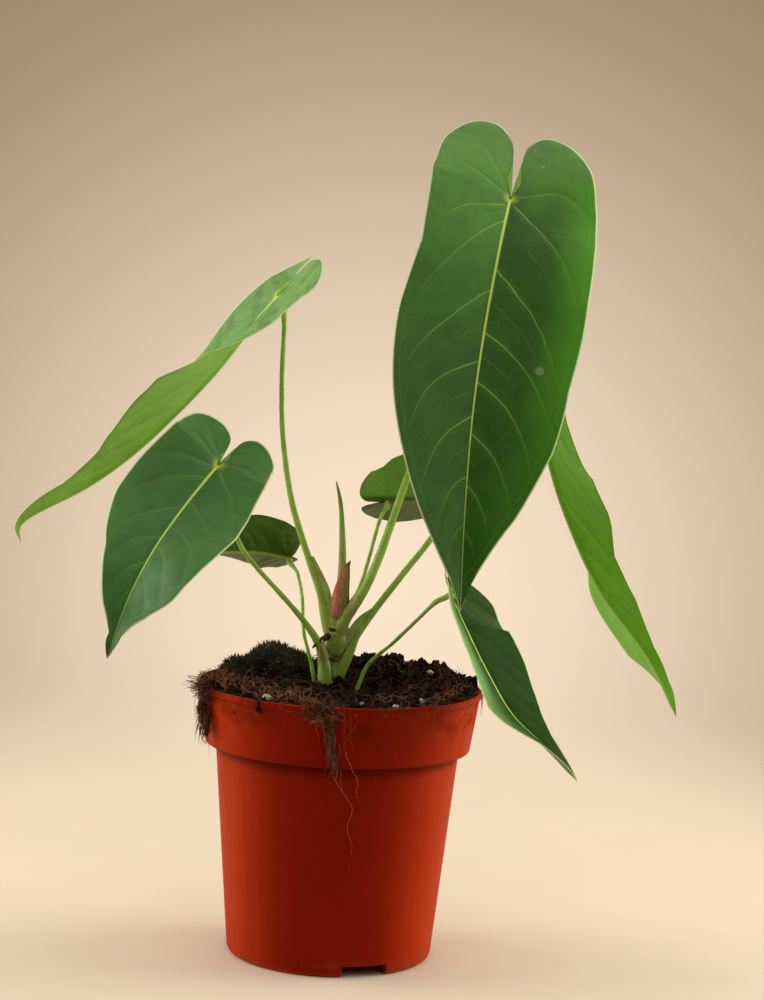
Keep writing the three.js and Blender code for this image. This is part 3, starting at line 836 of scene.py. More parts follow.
def make_soil_bed():
    clear_selection()
    foot = (0, 0, SOIL_FOOT_LEVEL)
    bpy.ops.mesh.primitive_circle_add(vertices=SOIL_STEPS, radius=SOIL_FOOT_RADIUS, location=foot)
    bed = bpy.context.object
    bed.name = "soil_bed"
    settle(bed)
    edit(bed)
    bpy.ops.mesh.extrude_region_move(TRANSFORM_OT_translate={"value": (0, 0, SOIL_LEVEL - SOIL_FOOT_LEVEL)})
    wider = SOIL_RADIUS / SOIL_FOOT_RADIUS
    bpy.ops.transform.resize(value=(wider, wider, 1), center_override=(0, 0, SOIL_LEVEL))
    for ring in range(SOIL_RINGS, 1, -1):
        inner = (ring - 1) / ring
        bpy.ops.mesh.extrude_region_move()
        bpy.ops.transform.resize(value=(inner, inner, 1), center_override=(0, 0, SOIL_LEVEL))
    bpy.ops.mesh.extrude_region_move()
    bpy.ops.mesh.merge(type="CENTER")
    edit(bed, lambda place: place.z < SOIL_FOOT_LEVEL + 0.0005)
    bpy.ops.mesh.edge_face_add()
    close_up(bed)
    for vertex in bed.data.vertices:
        if vertex.co.z > SOIL_FOOT_LEVEL + 0.001:
            vertex.co.z = soil_height(vertex.co.x, vertex.co.y)
    smooth(bed)
    return bed


soil_bed = make_soil_bed()
print("soil bed vertices:", len(soil_bed.data.vertices))

# %% [markdown]
# ## Peat colours
#
# Peat is near-black crumbs, dark brown fibre and the odd lighter flake. One recipe makes it, and
# grit, fibres and moss too: two tones in a mottle, small specks of a third, and a bump of many
# scales that breaks up the surface.


# %% Grainy materials
def grainy(name, dark, light, speck, patch, specks, shown, grain, depth, strength, **fixed):
    """patch is the mottle's scale, specks and grain are clouds, shown says where specks show"""
    skin = Skin(name, **fixed)
    tone = mix(mottle(skin.place, patch), dark, light)
    masked = ease(cloud(skin.place, *specks), *shown)
    return skin, mix(masked, tone, speck), cloud(skin.place, *grain), depth, strength


def crumbly(name, dark, light, scale=240):
    """Peat: pale flecks, coarse grain, and a shine that varies as if some of it were wet"""
    skin, *rest = grainy(
        name, dark, light, (120, 84, 52), scale, (scale * 7, 2), (0.66, 0.72, 0, 0.45),
        (scale * 4, 6, 0.7), 0.0006, 0.9, IOR=1.35, Specular_IOR_Level=0.12,
    )
    wet = cloud(skin.place, scale * 0.6, 2)
    return skin.finish(*rest, ease(wet, 0.35, 0.65, 0.72, 1))


def finished(name, dark, light, speck, recipe):
    """A grainy material from one of the recipes below"""
    skin, *rest = grainy(name, dark, light, speck, **recipe)
    return skin.finish(*rest)


GRIT = {
    "patch": 500, "specks": (900, 3), "shown": (0.55, 0.7, 0, 0.5), "grain": (2600, 4, 0.7),
    "depth": 0.0002, "strength": 0.8, "Roughness": 0.85,
}
FIBRE = {
    "patch": 60, "specks": (1500, 3), "shown": (0.5, 0.7, 0, 0.45), "grain": (3000, 3),
    "depth": 0.0001, "strength": 0.7, "Roughness": 0.7, "IOR": 1.4,
}
MOSS = {
    "patch": 90, "specks": (1300, 2), "shown": (0.56, 0.7, 0, 0.6), "grain": (2200, 4, 0.7),
    "depth": 0.0003, "strength": 0.8, "Roughness": 0.85, "IOR": 1.35, "Sheen_Weight": 0.25,
    "Sheen_Roughness": 0.5,
}
peat_dark = crumbly("dark peat", (7, 5, 4), (20, 13, 9))
peat_brown = crumbly("brown peat crumbs", (11, 7, 5), (44, 28, 18), 330)
peat_root = crumbly("rooty peat", (20, 9, 5), (70, 32, 19), 380)
grit_white = finished("white grit", (196, 184, 162), (236, 229, 214), (120, 92, 66), GRIT)
fibre_red = finished("red-brown fibre", (88, 38, 19), (146, 80, 44), (46, 26, 16), FIBRE)
fibre_dark = finished("dark fibre", (34, 15, 8), (68, 36, 20), (46, 26, 16), FIBRE)
fibre_tan = finished("tan fibre", (118, 68, 42), (184, 128, 88), (46, 26, 16), FIBRE)
fibre_pale = finished("pale root hair", (150, 112, 80), (196, 160, 122), (46, 26, 16), FIBRE)
moss_dark = finished("dark moss", (22, 23, 9), (56, 57, 21), (122, 118, 54), MOSS)
moss_olive = finished("olive moss", (40, 44, 18), (84, 84, 34), (120, 112, 52), MOSS)
print("materials:", len(bpy.data.materials))
hand_in(soil_bed, "soil", [peat_dark], ["soil"])

# %% [markdown]
# ## Crumbs and grit
#
# Thousands of crumbs can't be placed by hand. We model one uneven crumb with few faces, then write
# many copies of it into one mesh, each with its own place, size and turn. The white grit that keeps
# the soil airy is made in the same way, rounder and far sparser.


# %% Scatter copies of a small shape
def small_ball(name, rings, unevenness, seed):
    """A rough ball of radius 1 with few faces"""
    clear_selection()
    bpy.ops.mesh.primitive_ico_sphere_add(subdivisions=rings, radius=1)
    ball = bpy.context.object
    ball.name = name
    for vertex in ball.data.vertices:
        shift = noise.noise(vertex.co * 1.7 + Vector((seed, 0, 0)))
        vertex.co *= 1 + unevenness * shift
    return ball


def scatter(name, model, spots):
    """One mesh with a copy of model at each spot: (place, turn as a matrix, size on each axis)"""
    count = len(model.data.vertices)
    shape = np.array([vertex.co[:] for vertex in model.data.vertices])
    faces = [tuple(polygon.vertices) for polygon in model.data.polygons]
    places = []
    corners = []
    for number, (place, turn, size) in enumerate(spots):
        turned = (shape * np.asarray(size)) @ np.array(turn.transposed()) + np.asarray(place)
        places.append(turned)
        corners += [tuple(index + number * count for index in face) for face in faces]
    mesh = bpy.data.meshes.new(name)
    mesh.from_pydata(np.vstack(places).tolist(), [], corners)
    made = bpy.data.objects.new(name, mesh)
    bpy.context.collection.objects.link(made)
    only(model)
    bpy.ops.object.delete()
    return made


def random_turn(chance):
    axis = Vector((chance.gauss(0, 1), chance.gauss(0, 1), chance.gauss(0, 1))).normalized()
    return Matrix.Rotation(chance.uniform(0, 2 * math.pi), 3, axis)


# How far from the pot's axis loose things lie
CRUMB_REACH = 0.0568
FIBRE_START = 0.056
FIBRE_REACH = 0.0572
STIFF_REACH = 0.0555


def random_on_soil(chance, edge=CRUMB_REACH):
    radius = edge * math.sqrt(chance.random())
    turn = chance.uniform(0, 2 * math.pi)
    return radius * math.cos(turn), radius * math.sin(turn)


def crumb_spots(count, low, high, seed):
    """Crumbs from low to high in size, of which most are small"""
    chance = random.Random(seed)
    spots = []
    for _ in range(count):
        x, y = random_on_soil(chance)
        size = low + (high - low) * chance.random() ** 2.2
        stretch = [size * chance.uniform(0.6, 1.3) for _ in range(3)]
        spots.append(((x, y, soil_height(x, y) + 0.25 * size), random_turn(chance), stretch))
    return spots


# %% Peat crumbs
fine_spots = crumb_spots(3400, 0.0003, 0.0011, 11)
large_spots = crumb_spots(560, 0.0009, 0.0034, 12)
hand_in(scatter("peat_crumbs_fine", small_ball("crumb", 1, 0.5, 3), fine_spots), "soil", [peat_dark])
hand_in(scatter("peat_crumbs_large", small_ball("crumb", 2, 0.7, 5), large_spots), "soil", [peat_brown])

# %% White grit
GRIT_PLACES = [
    (-29.5, -40, 1.9), (9.5, -40, 0.9), (23.5, -40, 1.4), (30, -38, 1.3), (34, -30, 1.4), (48.5, -27, 1.3),
    (-12, -44, 0.8), (-40, -28, 0.9), (16, -30, 0.8), (38, 8, 1.2), (-8, 34, 1.3), (20, 42, 1.1),
    (-46, 6, 1), (-20, 46, 1.2), (44, 26, 1), (2, 22, 0.9),
]


def grit_spots():
    chance = random.Random(21)
    spots = []
    for x, y, size in GRIT_PLACES:
        x, y, size = x * MM, y * MM, size * MM
        stretch = [size * chance.uniform(0.75, 1.2) for _ in range(3)]
        spots.append(((x, y, soil_height(x, y) + 0.7 * size), random_turn(chance), stretch))
    return spots


grit = scatter("white_grit", small_ball("bit_of_grit", 3, 0.45, 8), grit_spots())
smooth(grit)
hand_in(grit, "soil", [grit_white])

# %% [markdown]
# ## Fibres and fine roots
#
# Curly fibres lie over the peat. Each is a wandering line: it keeps turning a little at random, so
# it curls instead of jumping. All lines of one colour are splines of a single curve with a round
# bevel, the light way to make hair-thin tubes, which then becomes a mesh.


# %% Draw many thin tubes
def draw_tubes(name, lines, sides=0):
    """One mesh of round tubes. Each line is a list of (place, radius)."""
    clear_selection()
    bpy.ops.curve.primitive_nurbs_path_add()
    piece = bpy.context.object
    piece.name = name
    curve = piece.data
    curve.splines.clear()
    curve.dimensions = "3D"
    curve.bevel_depth = 1
    curve.bevel_resolution = sides
    curve.use_fill_caps = True
    # A radius times the bevel's depth of 1 metre gives metres
    for line in lines:
        spline = curve.splines.new("POLY")
        spline.points.add(len(line) - 1)
        for point, (place, radius) in zip(spline.points, line):
            point.co = (*place, 1)
            point.radius = radius
    bpy.ops.object.convert(target="MESH")
    piece = bpy.context.object
    edit(piece)
    bpy.ops.mesh.normals_make_consistent(inside=False)
    to_object_mode()
    smooth(piece)
    return piece


FIBRE_STEPS = 13
FIBRE_CURL = 0.55


def wandering_fibre(chance, x, y, length, thick, lift):
    """A curly line over the soil"""
    heading = chance.uniform(0, 2 * math.pi)
    turning = chance.gauss(0, 0.35)
    step = length / FIBRE_STEPS
    line = []
    hump = chance.uniform(0.2, 1) * lift
    for number in range(FIBRE_STEPS + 1):
        share = number / FIBRE_STEPS
        z = soil_height(x, y) + thick + hump * math.sin(math.pi * share) ** 2 + 0.0002
        line.append(((x, y, z), thick * (1 - 0.6 * share)))
        turning = 0.7 * turning + chance.gauss(0, FIBRE_CURL) * 0.6
        heading += turning
        x += step * math.cos(heading)
        y += step * math.sin(heading)
        if math.hypot(x, y) > FIBRE_REACH:
            break
    return line


def fibres_on_soil(count, seed, thick, lift, x_range=(-1, 1), y_range=(-1, 1)):
    chance = random.Random(seed)
    lines = []
    while len(lines) < count:
        x, y = random_on_soil(chance, FIBRE_START)
        if not (x_range[0] < x < x_range[1] and y_range[0] < y < y_range[1]):
            continue
        length = chance.uniform(0.006, 0.026)
        line = wandering_fibre(chance, x, y, length, chance.uniform(*thick), lift)
        if len(line) > 4:
            lines.append(line)
    return lines


# %% Fibres over the soil
dark_lines = fibres_on_soil(300, 31, (0.00012, 0.00026), 0.003)
red_lines = fibres_on_soil(110, 32, (0.0001, 0.0002), 0.005)
tan_lines = fibres_on_soil(130, 33, (0.0001, 0.00018), 0.005, (-0.054, -0.012), (-0.056, -0.02))
tan_lines += fibres_on_soil(40, 34, (0.0001, 0.00018), 0.004, (0.02, 0.056), (-0.05, -0.01))
hand_in(draw_tubes("fibres_dark", dark_lines), "soil", [fibre_dark])
hand_in(draw_tubes("fibres_red", red_lines), "soil", [fibre_red])
hand_in(draw_tubes("fibres_tan", tan_lines), "soil", [fibre_tan])

# %% [markdown]
# ## Root clumps that hang over the rim
#
# At the front and at the left the roots have grown over the rim and carry peat with them. The core
# of each clump is a few rough balls, squashed, overlapped and joined. Over them goes a tangle of
# fibres that creep along the balls' skin and sink, and single hairs hang free below, a little away
# from the pot's wall, as real ones spring off it.

# %% Clump cores
FRONT_CLUMP = [
    {"at": (-6, -53, 113.4), "size": (7.4, 6, 2)},
    {"at": (-4.5, -60, 112.2), "size": (3.4, 2.4, 2.4)},
    {"at": (-2.4, -61, 105), "size": (0.9, 0.7, 5.4)},
    {"at": (-1, -60, 97), "size": (0.6, 0.5, 5.2)},
    {"at": (0.6, -58.5, 91), "size": (0.4, 0.4, 3.4)},
]
LEFT_CLUMP = [
    {"at": (-49.5, -15, 114.6), "size": (6.4, 10, 3)},
    {"at": (-54.5, -17, 114), "size": (3, 7, 2.6)},
    {"at": (-56, -25, 106), "size": (1.5, 2.4, 6.4)},
    {"at": (-54, -26, 98.5), "size": (1, 1.6, 4)},
]


def rough_ball(at, size, rings, coarse, fine):
    """A squashed ball with two sizes of unevenness"""
    clear_selection()
    bpy.ops.mesh.primitive_ico_sphere_add(subdivisions=rings, radius=1)
    ball = bpy.context.object
    for vertex in ball.data.vertices:
        place = Vector([at[k] + vertex.co[k] * size[k] for k in range(3)])
        shift = coarse * noise.noise(place * 0.22) + fine * noise.noise(place * 0.9)
        vertex.co = (place + vertex.co * shift) * MM
    return ball


def clump_core(name, lumps):
    """Overlapping rough balls, whose roughness follows their size"""
    balls = []
    for lump in lumps:
        rough = min(1.2, 0.6 * min(lump["size"]))
        balls.append(rough_ball(**lump, rings=5, coarse=rough, fine=rough))
    core = join(balls, name)
    smooth(core)
    return core


hand_in(clump_core("front_clump", FRONT_CLUMP), "soil", [peat_root])
hand_in(clump_core("left_clump", LEFT_CLUMP), "soil", [peat_root])


# %% Tangle of fibres over the clumps
CLUMP_STEPS = 14
LOOSENESS = (0.15, 0.6, 1.5)


def lump_depth(place, lump):
    """Below 1 inside a lump, above 1 outside"""
    return math.sqrt(sum(((place[k] - lump["at"][k]) / lump["size"][k]) ** 2 for k in range(3)))


def onto_lumps(place, lumps, stand_off):
    """Moves a place to the skin of the lump that it is deepest in or nearest to"""
    lump = min(lumps, key=lambda one: lump_depth(place, one))
    depth = max(lump_depth(place, lump), 0.05)
    if 1 <= depth < 1.12:
        return place
    centre = Vector(lump["at"])
    return centre + (place - centre) * ((1 + stand_off) / depth)


def fibre_over_lumps(chance, lumps, outwards, length, thick, loose):
    """A fibre in millimetres that starts on a lump's skin, follows the skins and sinks a little"""
    lump = chance.choice(lumps)
    way = Vector([chance.gauss(0, 1) for _ in range(3)]) + outwards * 1.2
    way.normalize()
    place = Vector(lump["at"]) + Vector([way[k] * lump["size"][k] for k in range(3)])
    heading = Vector([chance.gauss(0, 1) for _ in range(3)]).normalized()
    line = []
    for number in range(CLUMP_STEPS + 1):
        line.append((place * MM, thick * MM * (1 - 0.5 * number / CLUMP_STEPS)))
        swerve = Vector([chance.gauss(0, 0.5) for _ in range(3)])
        heading = (heading + swerve * 0.8 + Vector((0, 0, -0.12))).normalized()
        place = onto_lumps(place + heading * (length / CLUMP_STEPS), lumps, chance.uniform(0.03, loose))
    return line


def tangle(lumps, outwards, count, seed, thick):
    chance = random.Random(seed)
    lines = []
    for _ in range(count):
        length = chance.uniform(6, 20)
        loose = chance.choice(LOOSENESS)
        radius = chance.uniform(*thick)
        lines.append(fibre_over_lumps(chance, lumps, Vector(outwards), length, radius, loose))
    return lines


# %% Hairs that hang free
def wall_radius(z):
    """Outer radius of the pot at a height"""
    collar_foot = POT_HEIGHT - COLLAR_HEIGHT
    if z > collar_foot:
        return COLLAR_FOOT_RADIUS + (RIM_RADIUS - COLLAR_FOOT_RADIUS) * (z - collar_foot) / COLLAR_HEIGHT
    return BODY_FOOT_RADIUS + (BODY_TOP_RADIUS - BODY_FOOT_RADIUS) * max(z, 0) / collar_foot


def hanging_hair(chance, start, length, thick, drift=0):
    """A thin root that hangs from a place in millimetres and wanders a little sideways"""
    place = Vector(start) * MM
    steps = max(6, int(length / 1.6))
    side = chance.gauss(0, 0.2)
    line = []
    for number in range(steps + 1):
        line.append((tuple(place), thick * MM * (1 - 0.65 * number / steps)))
        side = 0.75 * side + chance.gauss(0, 0.28)
        across = Vector((-place.y, place.x, 0)).normalized()
        place = place + (across * (side + drift) + Vector((0, 0, -1))) * (length * MM / steps)
        outside = math.hypot(place.x, place.y)
        clear = wall_radius(place.z) + 0.0006
        if outside < clear:
            place.x *= clear / outside
            place.y *= clear / outside
    return line


# Where each hair starts, its length and its radius, in millimetres
HAIR_STARTS = [
    ((3, -61.5, 112), 14, 0.12),
    ((5.5, -61.5, 112), 17, 0.1),
    ((8, -61.5, 111), 12, 0.12),
    ((1.5, -61, 101), 14, 0.12),
    ((0, -61.5, 104), 16, 0.1),
    ((-5, -61.5, 108), 12, 0.12),
    ((2.5, -59.5, 90), 11, 0.1),
    ((-8, -61.5, 110), 9, 0.12),
    ((-59, -21, 106), 13, 0.12),
    ((-57, -26, 104), 12, 0.12),
    ((-55, -29, 103), 12, 0.1),
    ((-60, -14, 110), 9, 0.12),
    ((-53, -30, 96), 9, 0.1),
]
RIM_HAIRS = 60


def rim_hairs(count, seed):
    """Short fibres that lie over the rim all round the pot, more of them at the front"""
    chance = random.Random(seed)
    lines = []
    for _ in range(count):
        turn = math.radians(chance.gauss(0, 70))
        radius = RIM_RADIUS + 0.0006
        inner = (STIFF_REACH * math.sin(turn), -STIFF_REACH * math.cos(turn), POT_HEIGHT)
        top = (RIM_RADIUS * math.sin(turn), -RIM_RADIUS * math.cos(turn), POT_HEIGHT + 0.0007)
        thick = chance.uniform(0.08, 0.13)
        start = (radius / MM * math.sin(turn), -radius / MM * math.cos(turn), 114.6)
        length = chance.uniform(2, 9)
        lines.append([(inner, thick * MM), (top, thick * MM)] + hanging_hair(chance, start, length, thick))
    return lines


def hairs(seed):
    chance = random.Random(seed)
    lines = [hanging_hair(chance, *hair) for hair in HAIR_STARTS]
    return lines + rim_hairs(RIM_HAIRS, seed + 1)


front_tangle = tangle(FRONT_CLUMP[1:], (0, -1, 0), 270, 41, (0.07, 0.16))
front_tangle += tangle(FRONT_CLUMP[:1], (0, -0.4, 1), 120, 42, (0.08, 0.18))
left_tangle = tangle(LEFT_CLUMP, (-0.6, -0.6, 0.4), 210, 43, (0.1, 0.2))
clump_roots = front_tangle[1::4] + front_tangle[2::4] + left_tangle[1::4]
hand_in(draw_tubes("clump_fibres", front_tangle[::4] + left_tangle[::2]), "soil", [fibre_red])
hand_in(draw_tubes("clump_roots", clump_roots), "soil", [fibre_dark])
hand_in(draw_tubes("clump_tan", front_tangle[3::8] + left_tangle[3::4]), "soil", [fibre_tan])
hand_in(draw_tubes("hanging_hairs", hairs(44)), "soil", [fibre_red])


# %% One long pale hair and the stiff fibres
def stiff_fibres(count, seed, x_range, y_range, lean, longest):
    """Fibres that stick up out of the soil"""
    chance = random.Random(seed)
    lines = []
    while len(lines) < count:
        x = chance.uniform(*x_range)
        y = chance.uniform(*y_range)
        if math.hypot(x, y) > STIFF_REACH:
            continue
        place = Vector((x, y, soil_height(x, y)))
        heading = Vector((chance.gauss(lean, 0.5), chance.gauss(-0.2, 0.5), 1)).normalized()
        length = chance.uniform(0.2, 1) * longest
        line = []
        for number in range(8):
            line.append((tuple(place), 0.0002 * (1 - number / 10)))
            heading = (heading + Vector([chance.gauss(0, 0.24) for _ in range(3)])).normalized()
            place = place + heading * length / 7
        lines.append(line)
    return lines


chance = random.Random(51)
long_hair = hanging_hair(chance, (-1, -58, 89), 34, 0.06, -0.06)
second_hair = hanging_hair(chance, (4.5, -60.5, 98), 19, 0.07, 0.1)
stiff_lines = stiff_fibres(70, 52, (0.038, 0.050), (-0.030, 0.004), 0.2, 0.010)
stiff_lines += stiff_fibres(90, 53, (-0.056, -0.040), (-0.034, 0.010), -0.6, 0.009)
stiff_lines += stiff_fibres(120, 54, (-0.050, 0.052), (0.004, 0.054), 0, 0.005)
stiff_lines += stiff_fibres(60, 55, (-0.050, 0.052), (-0.054, -0.030), 0, 0.006)
hand_in(draw_tubes("pale_hairs", [long_hair, second_hair]), "soil", [fibre_pale])
hand_in(draw_tubes("stiff_fibres", stiff_lines), "soil", [fibre_red])

# %% [markdown]
# ## Moss
#
# The moss is a dark cushion. Its body is three rough balls, and what the eye reads as moss is its
# pile: thousands of tiny shoots that stand off the skin in all directions. One shoot is a cone with
# a few sides, and copies of it are turned to the cushion's own normals.

# %% Moss cushion and shoots
MOSS_BALLS = [
    {"at": (-29, 23, 118), "size": (12, 10, 8)},
    {"at": (-20, 27, 116.8), "size": (7.8, 8.2, 5)},
    {"at": (-43, 14, 116), "size": (7.2, 7.2, 4.6)},
]


def shoot():
    """A small leaning cone of height 1"""
    clear_selection()
    bpy.ops.mesh.primitive_cone_add(vertices=4, radius1=0.2, radius2=0, depth=1, location=(0, 0, 0.5))
    cone = bpy.context.object
    settle(cone)
    edit(cone, lambda place: place.z > 0.9)
    bpy.ops.transform.translate(value=(0.25, 0, 0))
    to_object_mode()
    return cone


def shoot_spots(cushion, count, seed, low, high):
    chance = random.Random(seed)
    polygons = [polygon for polygon in cushion.data.polygons if polygon.normal.z > -0.25]
    spots = []
    while len(spots) < count:
        polygon = chance.choice(polygons)
        place = polygon.center
        if place.z < soil_height(place.x, place.y) - 0.0004:
            continue
        lean = Vector([chance.gauss(0, 0.45) for _ in range(3)])
        turn = (polygon.normal + lean + Vector((0, 0, 0.3))).to_track_quat("Z", "X").to_matrix()
        spin = Matrix.Rotation(chance.uniform(0, 2 * math.pi), 3, "Z")
        height = chance.uniform(low, high)
        spots.append((place - polygon.normal * 0.0001, turn @ spin, (height * 0.8, height * 0.8, height)))
    return spots


def patch_spots(count, seed):
    """Shoots that grow straight from the peat in front of the cushion"""
    chance = random.Random(seed)
    spots = []
    while len(spots) < count:
        x = chance.gauss(-0.026, 0.011)
        y = chance.gauss(0.004, 0.011)
        if math.hypot(x, y) > 0.055 or noise.noise(Vector((x, y, 2.1)) * 150) < -0.05:
            continue
        turn = Vector((chance.gauss(0, 0.5), chance.gauss(0, 0.5), 1)).to_track_quat("Z", "X").to_matrix()
        height = chance.uniform(0.0007, 0.0016)
        spots.append(((x, y, soil_height(x, y)), turn, (height * 0.9, height * 0.9, height)))
    return spots


moss_balls = [rough_ball(lump["at"], lump["size"], 5, 2, 1.5) for lump in MOSS_BALLS]
moss_cushion = join(moss_balls, "moss_cushion")
smooth(moss_cushion)
moss_shoots = shoot_spots(moss_cushion, 4600, 61, 0.0009, 0.0034)
hand_in(moss_cushion, "moss", [moss_dark], ["moss"])
hand_in(scatter("moss_shoots", shoot(), moss_shoots), "moss", [moss_dark])
hand_in(scatter("moss_patch", shoot(), patch_spots(1500, 62)), "moss", [moss_olive])

# %% [markdown]
# ## Stem
#
# The stem is a pile of short joints. Each one carried a leaf, and where two meet there is a ring
# with a rest of brown skin. A bevelled curve with a radius for each point gives that swelling shape
# in one go, and a fine ripple makes the scars.

# %% Stem shape
STEM_LINE = Line([
    (-4, 1, 95), (-5, 0, 112), (-5, 0, 124), (-3.5, 0, 129), (-2.5, 0, 135), (-2, 0, 149.5),
])
STEM_RADIUS = [
    (0, 4.2), (0.43, 4.8), (0.56, 4.4), (0.72, 5), (0.85, 4.7), (0.94, 4.5), (1, 2.6),
]
SCAR_PLACES = (0.42, 0.575, 0.8)
STEM_RINGS = 110


def stem_points():
    """The stem's line with a ridge at each scar and a groove on both sides of it"""
    points = []
    for ring, (place, radius) in enumerate(tube_line(STEM_LINE, STEM_RADIUS, STEM_RINGS)):
        nearest = min(abs(ring / STEM_RINGS - scar) for scar in SCAR_PLACES)
        ridge = math.exp(-((nearest / 0.008) ** 2))
        groove = math.exp(-((nearest / 0.02 - 1) ** 2) * 4)
        points.append((place, radius + 0.00022 * (ridge - groove)))
    return points


stem = draw_tubes("stem_joints", [stem_points()], sides=14)
for vertex in stem.data.vertices:
    push = noise.noise(Vector((vertex.co.x * 260, vertex.co.y * 260, vertex.co.z * 90)))
    vertex.co += vertex.normal * 0.0003 * push
close_up(stem)
smooth(stem)


# %% [markdown]
# ## Green and brown skin
#
# Stem, stalks, young leaf and sheaths share one recipe: two greens in a mottle, and brown specks.
# What differs is then laid over it. The skin is satin and a little light enters it, which the
# subsurface weight stands for.


# %% Skin materials
def plant_skin(name, green, pale, speck, speck_share=0.35, roughness=0.42):
    """The material and its colour, so that more can be laid over it, and the rest for finish"""
    depths = (0.6, 1, 0.2)
    skin = Skin(
        name, IOR=1.42, Subsurface_Weight=0.15, Subsurface_Scale=0.0012, Subsurface_Radius=depths
    )
    tone = mix(mottle(skin.place, 110), green, pale)
    specks = ease(cloud(skin.place, 1100, 3, 0.6), 0.62, 0.7, 0, speck_share)
    rough = ease(cloud(skin.place, 500), 0.3, 0.7, roughness - 0.06, roughness + 0.1)
    return skin, mix(specks, tone, speck), (cloud(skin.place, 1400), 0.00012, 0.6, rough)


# A slit with a pale border, whose dark inside is painted shade
SHADED_SLIT = {"at": (-5.2, -4.8, 138.5), "size": (3.1, 3, 1.2)}
# A hollow at a joint, painted as shade
SHADED_CAVITY = {"at": (-3.4, -4.6, 125.4), "size": (2.1, 3, 2.7)}
UPPER_BLUSH = {"at": (1, -3, 145), "size": (3.4, 5, 7)}


def stem_skin():
    skin, tone, rest = plant_skin("stem skin", (98, 122, 40), (160, 176, 84), (92, 62, 34))
    place = skin.place
    level = part(place, "Z") + (cloud(place, 300) - 0.5) * 0.006
    for scar in SCAR_PLACES:
        away = abs(level - float(STEM_LINE.at(scar)[2]))
        tone = mix(ease(away, 0.0004, 0.0018, 0.8, 0), tone, (116, 84, 50))
    shaded_slit = spot_distance(place, **SHADED_SLIT)
    tone = layered(
        tone,
        (ease(cloud(place, 210, 4, 0.65), 0.56, 0.64, 0, 0.75), (128, 96, 60)),
        (ease(spot_distance(place, **UPPER_BLUSH), 0.4, 1.1, 0.7, 0), (146, 104, 82)),
        (ease(shaded_slit, 1, 1.6, 0.8, 0), (196, 190, 120)),
        # painted shade inside the slit
        (ease(shaded_slit, 0.7, 1, 0.95, 0), (34, 20, 14)),
        # painted shade in the hollow at the joint
        (ease(spot_distance(place, **SHADED_CAVITY), 0.7, 1.05, 0.55, 0), (52, 34, 20)),
        (dirt(place, 0.114, 0.012), (44, 28, 18)),
    )
    return skin.finish(tone, *rest)


hand_in(stem, "stem", [stem_skin()], ["stem"])

# %% [markdown]
# ## Sheaths
#
# At its foot each stalk widens into a thin sheath that clasps the stem and ends in a free pointed
# ear. The newest one, which wrapped the young leaf, has dried to reddish paper. Each is a grid
# rolled round a line by a formula, wide at the foot and closing to a point, made thick by Solidify.


# %% Roll a grid into a sheath
def sideways_of(direction, towards):
    """Two directions square to a line: towards a side, and across"""
    near = towards - direction * (direction @ towards)
    near = near / np.linalg.norm(near)
    return near, np.cross(direction, near)


def shaped_grid(name, columns, rows, place_of):
    """A grid whose vertices go where place_of says, from how far across, -1 to 1, and up, 0 to 1"""
    clear_selection()
    bpy.ops.mesh.primitive_grid_add(x_subdivisions=columns, y_subdivisions=rows, size=2)
    made = bpy.context.object
    made.name = name
    for vertex in made.data.vertices:
        vertex.co = place_of(vertex.co.x, (vertex.co.y + 1) / 2)
    return made


def rolled_sheath(
    name, line, radius, open_towards, wrap, ear=0, end=1, crease=0, thick=0.0003,
):
    """A half tube round a line. wrap is its half angle in degrees, as a list of [share, value]."""
    towards = np.asarray(open_towards, float)

    def place_of(across, up):
        near, side = sideways_of(line.direction(end * up), towards)
        angle = math.radians(float(from_list(wrap, up))) * across
        size = float(from_list(radius, up)) * MM
        size += crease * MM * math.sin(9 * across + 3 * up) * up
        free = ear * MM * max(0, (up - 0.55) / 0.45) ** 1.6
        return line.at(end * up) + near * (size * math.cos(angle) + free) + side * size * math.sin(angle)

    sheath = shaped_grid(name, 22, 44, place_of)
    close_up(sheath, 1e-5)
    apply_modifier(sheath, "SOLIDIFY", thickness=thick, offset=0)
    apply_modifier(sheath, "SUBSURF", levels=1, render_levels=1)
    smooth(sheath)
    return sheath


PAPER_LINE = Line([
    (-2, -1.2, 143.5), (-1.5, -1.2, 152.5), (-0.5, -1.6, 160), (0.5, -2, 165), (2, -2.8, 168),
])
PAPER_RADIUS = [(0, 4), (0.25, 4), (0.5, 3), (0.75, 2.1), (0.9, 1.2), (1, 0.3)]
PAPER_WRAP = [(0, 95), (0.5, 100), (0.85, 80), (1, 30)]
paper_sheath = rolled_sheath(
    "papery_sheath", PAPER_LINE, PAPER_RADIUS, (0.25, -1, 0), PAPER_WRAP, crease=0.22, thick=0.00025
)


# %% Papery sheath colour
def red_paper():
    skin = Skin("reddish dry sheath", Roughness=0.6, IOR=1.4, Subsurface_Weight=0.2, Subsurface_Scale=0.001)
    across = part(skin.place, "X")
    streaks = cloud(mapped(skin.place, Scale=(1, 1, 0.12)), 1500, 3, 0.6)
    tone = layered(
        mix(mottle(skin.place, 120), (164, 80, 68), (214, 142, 112)),
        (ease(streaks, 0.4, 0.7, 0, 0.7), (132, 58, 48)),
        (ease(across, -0.002, 0.0005, 0, 0.75), (128, 140, 70)),
        (ease(across, 0.0012, 0.002, 0, 0.8), (104, 40, 34)),
        (ease(part(skin.place, "Z"), 0.164, 0.168, 0, 0.9), (70, 44, 30)),
    )
    return skin.finish(tone, streaks, 0.0003, 0.8)


hand_in(paper_sheath, "sheath", [red_paper()], ["sheath"])

# %% [markdown]
# ## Rolled young leaf
#
# The next leaf comes out rolled like a paper cone, with its edge running down it as a fine line. A
# tube would miss that edge, so we roll a grid by more than one full turn, with the outer layer a
# little wider than the inner one, and let the edge wind slowly round.

